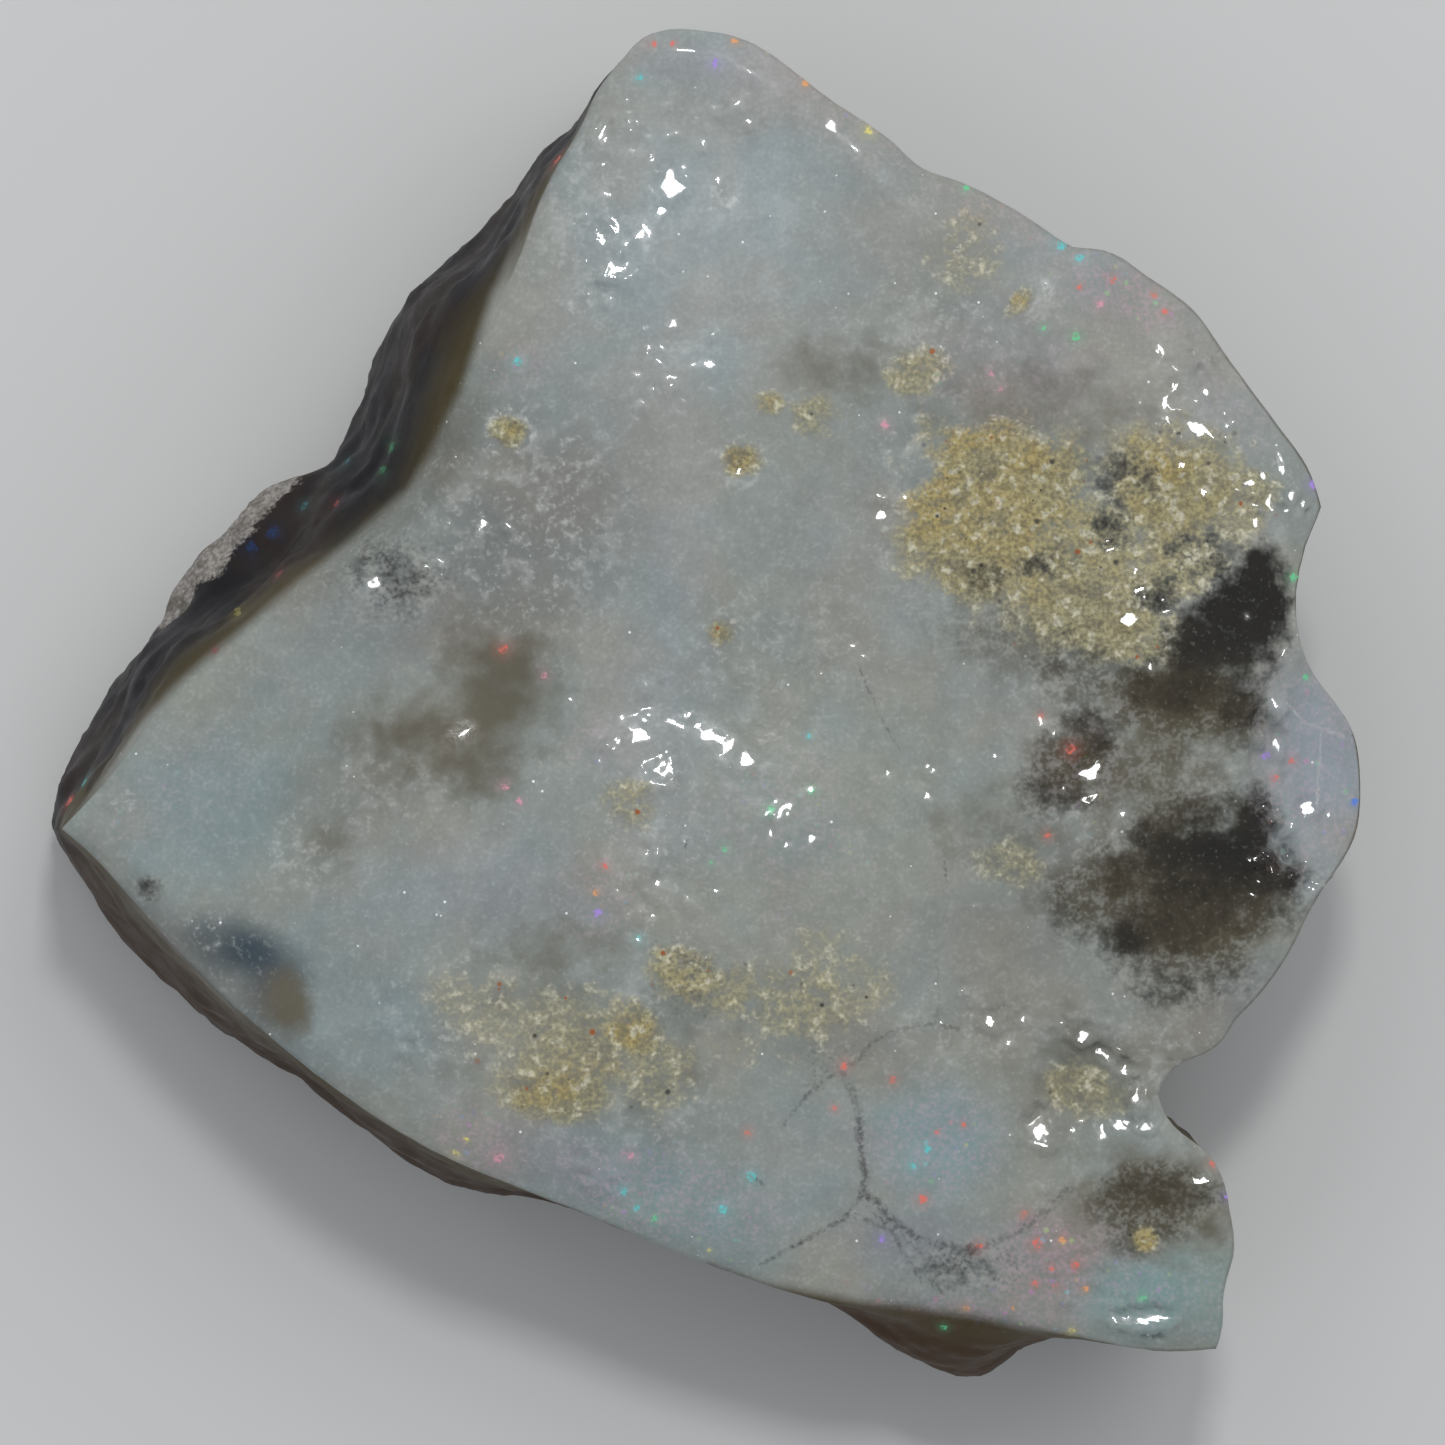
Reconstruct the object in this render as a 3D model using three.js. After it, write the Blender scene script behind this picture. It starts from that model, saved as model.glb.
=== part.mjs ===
// Rough Australian opal: one broken slab of pale opal. Its broken face is on top, a sharp edge runs round
// that face, rough walls fall away below the edge, and the worn underside has a flat that it rests on.
// Millimetres, +Z up. The origin is under the middle of the stone, on the surface that it rests on.
import * as THREE from "three";
import { mergeVertices } from "three/addons/utils/BufferGeometryUtils.js";

// Heights above the resting surface
const faceHeight = 11.8; // the broken face along its low ridge
const footHeight = 2.3; // where the walls turn in to the underside
const footRise = 0.05; // how much higher that turn lies for each millimetre to the right
const footWander = { size: 5, height: 0.9 }; // how it rises and falls round the stone

// How fine the solid is
const faceSteps = 42; // squares across the face, and across the underside
const wallSteps = 8; // squares down the walls

// The walls lean away from this point
const hubX = -0.1;
const hubY = -2.9;

// The edge of the face, as its four sides between the left tip, the bottom right corner, the right shoulder
// and the top corner. Each point is x, y and how far the foot of the wall below it stands out past the
// edge. A side is one or more smooth stretches, and a stretch ends at a sharp corner.
const bottomSide = [
  [
    [-19.3, -3.8, 0.8],
    [-18.4, -4.5, 1.2],
    [-16.7, -6.4, 1.6],
    [-14.2, -9.0, 1.35],
    [-11.1, -11.5, 1.0],
    [-9.3, -12.8, 0.7],
    [-7.6, -13.7, 0.8],
    [-6.0, -14.4, 0.8],
    [-3.0, -15.6, 0.4],
    [0.4, -17.0, 0.4],
    [3.5, -18.0, 0.7],
    [5.3, -18.2, 1.6],
    [6.8, -18.3, 2.7],
    [9.2, -18.7, 1.7],
    [12.1, -19.3, 0.6],
    [13.7, -19.6, -0.1],
    [15.5, -19.5, -0.3],
  ],
];
const rightSide = [
  [
    [15.5, -19.5, -0.3],
    [15.7, -19.0, -0.4],
    [15.7, -17.7, -0.6],
    [16.1, -16.5, -0.7],
    [15.9, -15.4, -0.6],
    [15.7, -14.2, -0.5],
    [15.0, -13.3, -0.4],
  ],
  [
    [15.0, -13.3, -0.4],
    [14.3, -12.9, -0.3],
    [13.8, -12.2, -0.3],
    [13.7, -11.5, -0.3],
    [14.4, -10.8, -0.4],
    [15.5, -10.4, -0.5],
    [16.0, -9.5, -0.5],
  ],
  [
    [16.0, -9.5, -0.5],
    [16.6, -9.0, -0.6],
    [17.6, -7.6, -0.7],
    [18.3, -6.1, -0.8],
    [19.1, -5.0, -0.9],
    [19.7, -4.0, -1.0],
    [19.8, -1.8, -1.0],
    [19.6, -0.8, -0.9],
    [18.1, 1.3, -0.7],
    [17.8, 3.0, -0.6],
    [18.1, 4.7, -0.8],
  ],
  [
    [18.1, 4.7, -0.8],
    [18.6, 5.9, -1.0],
  ],
];
const leftSide = [
  [
    [-19.3, -3.8, 0.8],
    [-17.9, -2.3, 1.9],
    [-15.9, 0.3, 2.2],
    [-13.6, 2.4, 2.4],
    [-11.8, 3.8, 2.4],
    [-10.5, 4.4, 2.9],
    [-9.5, 5.1, 3.1],
    [-8.6, 5.8, 3.4],
    [-7.9, 7.1, 4.0],
  ],
  [
    [-7.9, 7.1, 4.0],
    [-7.2, 9.7, 3.6],
    [-6.5, 11.2, 3.1],
    [-5.5, 13.4, 2.2],
    [-4.7, 15.5, 1.5],
    [-3.7, 17.2, 0.9],
    [-3.2, 18.4, 0.6],
    [-1.8, 20.0, 0.1],
  ],
];
const topSide = [
  [
    [-1.8, 20.0, 0.1],
    [-1.0, 20.2, -0.2],
    [1.1, 20.0, -0.5],
    [2.5, 19.1, -0.6],
    [4.0, 18.0, -0.7],
    [5.0, 17.4, -0.7],
  ],
  [
    [5.0, 17.4, -0.7],
    [5.9, 16.7, -0.8],
    [6.6, 16.0, -0.7],
    [7.7, 15.7, -0.7],
    [9.6, 14.7, -0.8],
    [11.1, 13.7, -0.8],
  ],
  [
    [11.1, 13.7, -0.8],
    [12.3, 13.6, -0.9],
    [13.3, 12.9, -0.9],
    [14.7, 11.9, -1.0],
    [15.5, 10.8, -1.0],
    [17.4, 8.2, -1.1],
    [18.2, 7.1, -1.1],
    [18.6, 5.9, -1.0],
  ],
];

// The face falls gently to both sides of a low ridge that runs down it and bends left near the bottom
const ridgeX = -2.0;
const ridgeBendY = -4.5;
const ridgeBendSlope = 1.2;
const ridgeSoftness = 2.2;
const fallLeft = 0.085; // drop per millimetre
const fallRight = 0.038;
const lowerFallFrom = -9.0; // below this y the face also falls towards the bottom edge
const lowerFall = 0.07;

// Shells broken out of the face: a dish with a sharp lip. lip is the share of the depth that drops at once.
const faceDishes = [
  { at: [20.5, -1.7], radius: 4.2, depth: 1.25, lip: 0.4 }, // smooth lobe on the right edge
  { at: [16.2, 1.9], radius: 1.7, depth: 0.3, lip: 0.3 }, // upper smoky zone
  { at: [15.7, -4.9], radius: 2.2, depth: 0.35, lip: 0.3 }, // lower smoky zone
  { at: [11.7, -11.7], radius: 1.7, depth: 0.35, lip: 0.5 }, // beside the notch
  { at: [-10.6, 6.2], radius: 2.6, depth: 0.8, lip: 0.2 }, // bevel on the left edge
  { at: [-6.4, 0.4], radius: 2.6, depth: 0.3, lip: 0.1 }, // brown smudge
  { at: [-13.5, -7.7], radius: 1.6, depth: 0.25, lip: 0.1 }, // blue-black smudge
  { at: [13.4, 13.0], radius: 2.9, depth: 0.4, lip: 0.2 }, // upper right edge
  { at: [14.4, -20.6], radius: 2.4, depth: 0.5, lip: 0.2 }, // bottom right edge
];
// Low swellings: the sandy patches and the knuckles of the ridge
const faceSwells = [
  { at: [9.3, 5.6], radius: 4.0, height: 0.35 }, // large sandy patch
  { at: [14.6, 7.2], radius: 2.6, height: 0.3 },
  { at: [12.6, 2.6], radius: 1.9, height: 0.2 },
  { at: [-3.2, -10.4], radius: 3.4, height: 0.35 }, // lower sandy patch
  { at: [-0.2, -8.7], radius: 1.8, height: 0.22 },
  { at: [-1.4, -2.0], radius: 1.8, height: 0.3 }, // knuckles of the ridge
  { at: [-2.0, 12.8], radius: 2.2, height: 0.25 },
  { at: [5.6, -14.6], radius: 3.0, height: 0.25 }, // bulge between the dark lines
];
const faceRelief = [
  { size: 5.5, height: 0.3 },
  { size: 2.0, height: 0.12 },
];
const lipWidth = 0.8;
const bowlPower = 1.5; // 1 gives a dish a plain round bowl, and more softens its rim
const edgeRounding = { width: 0.75, drop: 0.3 }; // how the face turns down at its edge

// Shells broken out of the walls and the underside, and what stands out of them. Points are x, y, z.
const wallDishes = [
  { at: [-14.8, 5.0, 7.2], radius: 4.2, depth: 0.8 }, // left wall, above the knob
  { at: [-10.6, 9.8, 6.2], radius: 3.8, depth: 0.9 },
  { at: [-18.9, -0.9, 6.6], radius: 2.8, depth: 0.6 },
  { at: [-7.4, 15.5, 6.0], radius: 3.4, depth: 0.8 },
  { at: [-12.8, -11.6, 6.0], radius: 3.6, depth: 0.7 }, // lower left wall
  { at: [-4.0, -16.2, 6.4], radius: 3.8, depth: 0.8 },
  { at: [2.6, -18.8, 4.4], radius: 3.0, depth: 0.8 },
  { at: [11.2, -19.2, 5.4], radius: 3.6, depth: 0.9 },
  { at: [16.2, -16.2, 5.8], radius: 3.2, depth: 0.8 }, // right walls
  { at: [16.6, -7.4, 6.2], radius: 3.9, depth: 0.9 },
  { at: [19.0, -1.4, 5.6], radius: 3.6, depth: 0.8 },
  { at: [17.8, 6.4, 6.6], radius: 4.0, depth: 1.0 },
  { at: [14.2, 12.0, 5.4], radius: 3.8, depth: 0.9 },
  { at: [8.0, 15.2, 6.6], radius: 3.7, depth: 0.9 }, // top walls
  { at: [2.2, 19.0, 5.8], radius: 3.4, depth: 0.8 },
];
const wallLumps = [
  { at: [-15.5, 4.2, 4.4], radius: 2.4, height: 1.2 }, // knob of sandy matrix, low on the left wall
  { at: [-14.6, 5.3, 4.6], radius: 2.2, height: 1.1 },
  { at: [-13.4, 6.2, 4.7], radius: 2.2, height: 1.3 },
  { at: [6.4, -19.6, 6.4], radius: 1.8, height: 0.5 }, // bulge under the bottom edge
];
const wallBelly = 2.0; // how soon the walls swell out to the foot: a sine over this many radians
const wallWear = 0.25; // how far the broken walls lie inside that swell on the whole
const wallRelief = [
  { size: 4.6, height: 0.42 },
  { size: 2.6, height: 0.12 },
];
const wallLedges = { spacing: 3.6, height: 0.15, wander: 1.1, wanderSize: 6 }; // they run along the walls
const edgeHold = 0.3; // share of the wall, below the edge, over which its roughness sets in

// The underside rises from the resting flat to the foot of the walls
const flatInset = 5.6; // how far in from the foot the resting flat begins
const flatWander = { size: 4, height: 1.5 };
const undersideCurve = 1.35;
const undersideDishes = [
  { at: [-9.5, -7.4], radius: 3.6, depth: 0.9 },
  { at: [8.6, 9.6], radius: 3.9, depth: 1.0 },
  { at: [10.8, -9.6], radius: 3.4, depth: 0.8 },
  { at: [-4.4, 10.8], radius: 3.2, depth: 0.9 },
];
const undersideRelief = { size: 2.6, height: 0.35 };
const undersideCalm = { flat: 0.35, foot: 0.2 }; // shares of the rise next to both that stay smooth

// Each kind of roughness takes its own layer of the noise
const noiseLayer = { ledges: 3, foot: 7, flat: 11, underside: 19 };

const onRingTolerance = 1e-6;

const stoneColour = 0x9a9ca2;
const stoneRoughness = 0.32;

const clamp01 = (value) => Math.min(1, Math.max(0, value));

function smoothStep(low, high, value) {
  const share = clamp01((value - low) / (high - low));
  return share * share * (3 - 2 * share);
}

// A fixed number from -1 to 1 for each point of a whole-number lattice
function latticeValue(i, j, k) {
  let mix = Math.imul(i, 374761393) + Math.imul(j, 668265263) + Math.imul(k, 1274126177);
  mix = Math.imul(mix ^ (mix >>> 13), 1103515245);
  mix = (mix ^ (mix >>> 16)) >>> 0;
  return mix / 2147483648 - 1;
}

// Smooth noise from -1 to 1 between the lattice points
function noise(x, y, z) {
  const corner = [x, y, z].map(Math.floor);
  const share = [x, y, z].map((value, axis) => smoothStep(0, 1, value - corner[axis]));
  let total = 0;
  for (let n = 0; n < 8; n += 1) {
    const step = [n & 1, (n >> 1) & 1, n >> 2];
    const weight = step.reduce((w, up, axis) => w * (up ? share[axis] : 1 - share[axis]), 1);
    total += weight * latticeValue(corner[0] + step[0], corner[1] + step[1], corner[2] + step[2]);
  }
  return total;
}

function relief(layers, x, y, z) {
  return layers.reduce((sum, { size, height }) => sum + height * noise(x / size, y / size, z / size), 0);
}

// The same for one layer that is read from above
function wander({ size, height }, x, y, layer) {
  return height * noise(x / size, y / size, layer);
}

// Goes evenly from 1 to -1 and back while the value goes up by 1
function zigzag(value) {
  return Math.abs(THREE.MathUtils.euclideanModulo(value, 1) - 0.5) * 4 - 1;
}

// How deep a dish is at a distance from its middle, with the share of its depth that drops at its lip
function dishDepth(distance, { radius, depth, lip = 0 }) {
  if (distance >= radius) return 0;
  const bowl = (1 - (distance / radius) ** 2) ** bowlPower;
  const drop = smoothStep(radius, radius - lipWidth, distance);
  return depth * (lip * drop + (1 - lip) * bowl);
}

function swellHeight(distance, { radius, height }) {
  return height * smoothStep(radius, 0, distance);
}

// Height of the broken face over a point, before its edge is rounded
function faceLevel(x, y) {
  const ridge = ridgeX + Math.min(0, y - ridgeBendY) * ridgeBendSlope;
  const across = x - ridge;
  const fall = across < 0 ? fallLeft : fallRight;
  let z = faceHeight - fall * (Math.hypot(across, ridgeSoftness) - ridgeSoftness);
  z -= lowerFall * Math.max(0, lowerFallFrom - y);
  z += relief(faceRelief, x, y, 0);
  for (const dish of faceDishes) {
    z -= dishDepth(Math.hypot(x - dish.at[0], y - dish.at[1]), dish);
  }
  for (const swell of faceSwells) {
    z += swellHeight(Math.hypot(x - swell.at[0], y - swell.at[1]), swell);
  }
  return z;
}

// One side as faceSteps + 1 points: x and y of the edge, and in z the reach of the foot. Corners are
// always among them, so they stay sharp.
function sidePoints(stretches) {
  const curves = stretches.map(
    (points) => new THREE.CatmullRomCurve3(points.map((point) => new THREE.Vector3(...point))),
  );
  const lengths = curves.map((curve) => curve.getLength());
  const whole = lengths.reduce((sum, length) => sum + length, 0);
  const points = [];
  let walked = 0;
  curves.forEach((curve, n) => {
    const first = Math.round((faceSteps * walked) / whole);
    walked += lengths[n];
    const last = Math.round((faceSteps * walked) / whole);
    for (let step = first; step < last; step += 1) {
      points.push(curve.getPointAt((step - first) / (last - first)));
    }
  });
  points.push(curves.at(-1).getPoint(1));
  return points;
}

const edge = {
  bottom: sidePoints(bottomSide),
  right: sidePoints(rightSide),
  left: sidePoints(leftSide),
  top: sidePoints(topSide),
};

// The point of a ring of four sides at a place on the border of the square, counted in steps
function onRing(ring, across, up) {
  if (up === 0) return ring.bottom[across];
  if (up === faceSteps) return ring.top[across];
  return across === 0 ? ring.left[up] : ring.right[up];
}

// A net of squares stretched inside a ring of four sides
function insideRing(ring, across, up) {
  const u = across / faceSteps;
  const v = up / faceSteps;
  const point = new THREE.Vector3();
  point.addScaledVector(ring.bottom[across], 1 - v);
  point.addScaledVector(ring.top[across], v);
  point.addScaledVector(ring.left[up], 1 - u);
  point.addScaledVector(ring.right[up], u);
  point.addScaledVector(ring.bottom[0], -(1 - u) * (1 - v));
  point.addScaledVector(ring.bottom[faceSteps], -u * (1 - v));
  point.addScaledVector(ring.top[0], -(1 - u) * v);
  point.addScaledVector(ring.top[faceSteps], -u * v);
  return point;
}

// How far a point lies inside a ring, seen from above
function distanceToRing(ring, x, y) {
  const place = new THREE.Vector3(x, y, 0);
  const nearest = new THREE.Vector3();
  const piece = new THREE.Line3();
  let least = Infinity;
  for (const side of Object.values(ring)) {
    for (let n = 0; n < side.length - 1; n += 1) {
      piece.start.set(side[n].x, side[n].y, 0);
      piece.end.set(side[n + 1].x, side[n + 1].y, 0);
      piece.closestPointToPoint(place, true, nearest);
      least = Math.min(least, nearest.distanceTo(place));
    }
  }
  return least;
}

function facePoint(across, up) {
  const { x, y } = insideRing(edge, across, up);
  const turnDown = clamp01(1 - distanceToRing(edge, x, y) / edgeRounding.width) ** 2;
  return new THREE.Vector3(x, y, faceLevel(x, y) - edgeRounding.drop * turnDown);
}

// A point of the wall under a point of the edge. down is 0 at the edge of the face and 1 at the foot.
function wallPoint(edgePoint, down) {
  const away = new THREE.Vector2(edgePoint.x - hubX, edgePoint.y - hubY).normalize();
  const top = faceLevel(edgePoint.x, edgePoint.y) - edgeRounding.drop;
  const footWave = wander(footWander, edgePoint.x, edgePoint.y, noiseLayer.foot);
  const foot = footHeight + footRise * edgePoint.x + footWave;
  const z = THREE.MathUtils.lerp(top, foot, down);
  let out = (edgePoint.z * Math.sin(down * wallBelly)) / Math.sin(wallBelly);
  const x = edgePoint.x + away.x * out;
  const y = edgePoint.y + away.y * out;

  const free = smoothStep(0, edgeHold, down); // the edge itself stays where it is
  const { spacing, height, wanderSize } = wallLedges;
  const level = wander({ size: wanderSize, height: wallLedges.wander }, x, y, noiseLayer.ledges);
  out += free * (relief(wallRelief, x, y, z) - wallWear);
  out += free * height * zigzag(z / spacing + level);
  for (const dish of wallDishes) {
    out -= free * dishDepth(Math.hypot(x - dish.at[0], y - dish.at[1], z - dish.at[2]), dish);
  }
  for (const lump of wallLumps) {
    out += swellHeight(Math.hypot(x - lump.at[0], y - lump.at[1], z - lump.at[2]), lump);
  }
  return new THREE.Vector3(edgePoint.x + away.x * out, edgePoint.y + away.y * out, z);
}

const foot = Object.fromEntries(
  Object.entries(edge).map(([name, points]) => [name, points.map((point) => wallPoint(point, 1))]),
);

// A point of the underside: level at 0 inside the resting flat, and rising from it to the foot
function undersidePoint(across, up) {
  const point = insideRing(foot, across, up);
  const { x, y } = point;
  const inset = distanceToRing(foot, x, y);
  if (inset < onRingTolerance) return point;
  const width = flatInset + wander(flatWander, x, y, noiseLayer.flat);
  const rise = clamp01(1 - inset / width);
  let z = footHeight * rise ** undersideCurve;
  z += (point.z - footHeight) * rise ** 2; // the wander of the foot fades out
  const bare = smoothStep(0, undersideCalm.flat, rise) * smoothStep(1, 1 - undersideCalm.foot, rise);
  z += bare * wander(undersideRelief, x, y, noiseLayer.underside);
  for (const dish of undersideDishes) {
    z += bare * dishDepth(Math.hypot(x - dish.at[0], y - dish.at[1]), dish);
  }
  point.z = Math.max(0, z);
  return point;
}

// Each square is two triangles. They meet along its shorter diagonal, so that no thin ones stand up.
function shortenDiagonals(geometry) {
  const index = geometry.index;
  const place = geometry.attributes.position;
  const at = (n) => new THREE.Vector3().fromBufferAttribute(place, index.getX(n));
  for (let n = 0; n < index.count; n += 6) {
    const [a, b, d, c] = [0, 1, 2, 4].map((k) => index.getX(n + k));
    const current = at(n + 1).distanceTo(at(n + 2));
    const other = at(n).distanceTo(at(n + 4));
    if (other < current) {
      [a, b, c, a, c, d].forEach((vertex, k) => index.setX(n + k, vertex));
    }
  }
}

// A block of squares, wrapped on the stone: its top becomes the face, its sides the walls and its bottom
// the underside
function stoneGeometry() {
  const block = new THREE.BoxGeometry(faceSteps, faceSteps, wallSteps, faceSteps, faceSteps, wallSteps);
  block.deleteAttribute("normal");
  block.deleteAttribute("uv");
  const geometry = mergeVertices(block);
  const places = geometry.attributes.position;
  const corner = new THREE.Vector3();
  for (let n = 0; n < places.count; n += 1) {
    corner.fromBufferAttribute(places, n);
    const across = Math.round(corner.x + faceSteps / 2);
    const up = Math.round(corner.y + faceSteps / 2);
    const down = Math.round(wallSteps / 2 - corner.z);
    let point;
    if (down === 0) point = facePoint(across, up);
    else if (down === wallSteps) point = undersidePoint(across, up);
    else point = wallPoint(onRing(edge, across, up), down / wallSteps);
    places.setXYZ(n, point.x, point.y, point.z);
  }
  shortenDiagonals(geometry);
  geometry.computeBoundingBox();
  const middle = geometry.boundingBox.getCenter(new THREE.Vector3());
  geometry.translate(-middle.x, -middle.y, 0);
  geometry.computeVertexNormals();
  return geometry;
}

function makeOpal() {
  const material = new THREE.MeshStandardMaterial({
    color: stoneColour,
    roughness: stoneRoughness,
    metalness: 0,
  });
  const stone = new THREE.Mesh(stoneGeometry(), material);
  stone.name = "opal";
  return stone;
}

const part = new THREE.Group();
part.add(makeOpal());

export default part;
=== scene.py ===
# Rough Australian opal: a glossy broken face of milky opal with sandy and smoky patches, rough walls that
# are dark with smoky opal and painted shade, and a worn underside. Metres, +Z up, in the frame of the CAD
# part. The places in the dictionaries are millimetres in that frame, seen from above.
import math
import random

import bmesh
import bpy
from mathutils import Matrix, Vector, kdtree, noise
from mathutils.bvhtree import BVHTree


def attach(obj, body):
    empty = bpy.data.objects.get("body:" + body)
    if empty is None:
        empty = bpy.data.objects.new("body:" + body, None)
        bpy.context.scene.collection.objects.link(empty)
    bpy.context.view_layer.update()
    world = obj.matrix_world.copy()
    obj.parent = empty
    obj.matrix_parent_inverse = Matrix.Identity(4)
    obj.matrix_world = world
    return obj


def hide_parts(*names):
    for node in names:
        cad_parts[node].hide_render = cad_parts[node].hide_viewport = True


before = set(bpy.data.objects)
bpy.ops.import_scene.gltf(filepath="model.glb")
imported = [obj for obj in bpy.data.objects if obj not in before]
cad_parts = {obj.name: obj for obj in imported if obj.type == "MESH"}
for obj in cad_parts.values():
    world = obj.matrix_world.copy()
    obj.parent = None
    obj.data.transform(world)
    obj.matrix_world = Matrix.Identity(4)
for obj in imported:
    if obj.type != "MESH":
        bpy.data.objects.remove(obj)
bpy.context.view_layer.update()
mm = 0.001
farAway = 90.0  # millimetres, further than anything on the stone

# Small helpers for numbers


# Goes softly from 0 at low to 1 at high. Where low is the larger of the two, it falls instead.
def softStep(low, high, value):
    share = min(1.0, max(0.0, (value - low) / (high - low)))
    return share * share * (3 - 2 * share)


def lean(value, target, share):
    return value + (target - value) * share


# Smooth noise from about -1 to 1 whose lumps are about size millimetres across, times a height. Each use
# reads its own layer of the noise.
def lumps(place, size, height=1.0, layer=0.0):
    return height * noise.noise(Vector((place.x / size, place.y / size, place.z / size + layer)))


# The stone's shape: the CAD solid with smooth faces, sharp edges and its fine relief
stone = {
    "cadNode": "opal",
    "mergeDistance": 1e-6,
    "sharpTurn": math.radians(36),  # an edge that turns more than this keeps its bite
    "sharpCrease": 0.7,
    "faceCuts": 2,
    "wallCuts": 1,
    "faceUp": 0.25,  # the face and the walls look up at least this much
    "wallUp": -0.45,
    "evening": 0.5,
    "smoothRounds": 3,
    "knobRounds": 4,
    "knobReach": 1.25,  # as a multiple of the radius of its lumps
    "faceFloor": 8.3,  # nothing of the glossy face lies lower
}
# Layers of relief: size and height of the lumps, and the layer of the noise
faceShape = {
    "swell": (2.6, 0.09, 0.0),
    "pebbles": (0.95, 0.012, 5.0),
    "grit": (0.42, 0.002, 9.0),
    "roughPebbles": (0.55, 0.028, 11.0),
    "sandGrit": (0.36, 0.02, 13.0),
    "knuckleBorder": (0.55, 0.45, 17.0),  # heights of borders are shares of a radius
    "facetBorder": (0.36, 0.6, 19.0),
    "calm": 0.75,  # the share of the relief that smooth places lose
    "calmBorder": (0.2, 0.8),
    "edgeRoughness": 0.8,
    "knuckleReach": 1.4,  # these two are multiples of a radius
    "facetReach": 1.7,
    "facetEdge": (1.5, 1.0),
    "facetsEnd": (1.0, 0.92),  # none lies at the sharp edge of the face
    "highestFacet": 0.2,  # no facet stands further out of the face
    "pitBottom": 0.3,  # the share of a pit's radius that is at its full depth
    "stepEnds": (4.0, 2.0),  # as multiples of the step's width
    "facetHeight": 11.0,  # roughly where they lie
}
wallShape = {
    "lumps": (1.5, 0.16, 21.0),
    "flattening": 1.6,  # how much flatter than wide the lumps are
    "grit": (0.45, 0.05, 27.0),
    "ledgeWander": (4.5, 1.4, 31.0),
    "ledgeSpacing": 1.15,
    "ledgeHeight": 0.065,
    "ledgeDrop": (1.0, 0.86),
    "knobGrit": (0.8, 0.15, 37.0),
    "start": (0.1, 1.2),  # how far below the edge the relief begins
}
undersideShape = {
    "evenRounds": 4,
    "lumps": (1.9, 0.16, 41.0),
    "grit": (0.6, 0.05, 43.0),
    "start": (0.12, 1.4),  # the resting flat is left alone below this height
}
# Where the finishes begin and where they are full
zones = {
    "faceUp": (0.2, 0.5),  # the upward part of the normal
    "faceHeight": (7.7, 8.7),
    "pastEdge": (0.35, -0.15),
    "patchesUp": -0.1,  # nothing is painted on what looks further down
    "undersideUp": (-0.3, -0.8),
    "undersideHeight": (5.0, 4.0),
    "roughEdge": (1.5, 0.3),
    "alone": (0.2, 0.5),  # how much nearer a fleck has to be than the next one
    "wideRagged": (1.5, 0.32),  # size and height of the ragged borders of patches
    "fineRagged": (0.5, 0.22),
    "layerGap": 7.0,  # each kind of patch reads its own layers of the noise
    "fineLayer": 3.0,
}
rust = {
    "clouds": (3.6, 1.0, 71.0),
    "fringe": (1.0, 0.3, 73.0),
    "border": (0.1, 0.4),
    "least": 0.2,
    "underside": 0.5,
    "frontShare": 0.9,
    "frontY": (-14.0, -17.5),
    "leftShare": 0.7,
    "leftX": (-2.0, -6.0),
    "leftY": (-3.0, -5.0),
}

# Lengths for the room, its lamps and the camera are metres
room = {
    "floorSize": 1.2,
    "floorColour": (0.62, 0.62, 0.61),
    "floorRoughness": 0.8,
    "worldColour": (0.75, 0.78, 0.82),
    "worldStrength": 0.63,
    "aim": (0.0007, -0.0003, 0.0105),
}
# name: place, side, watts, whether the wet face mirrors it
lamps = {
    "key": ((0.26, 0.28, 0.42), 0.40, 0.6, False),
    "top": ((-0.24, 0.32, 0.38), 0.36, 0.35, False),
    "spark": ((0.02, 0.17, 0.42), 0.05, 0.5, True),
}
cameraSetup = {
    "above": (0.000692, -0.000347, 0.4115),
    "frameWidth": 0.04335,  # across the picture at the height of the face
    "faceHeight": 0.0115,
    "sensor": 36.0,
    "clip": (0.01, 10.0),
}

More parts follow.
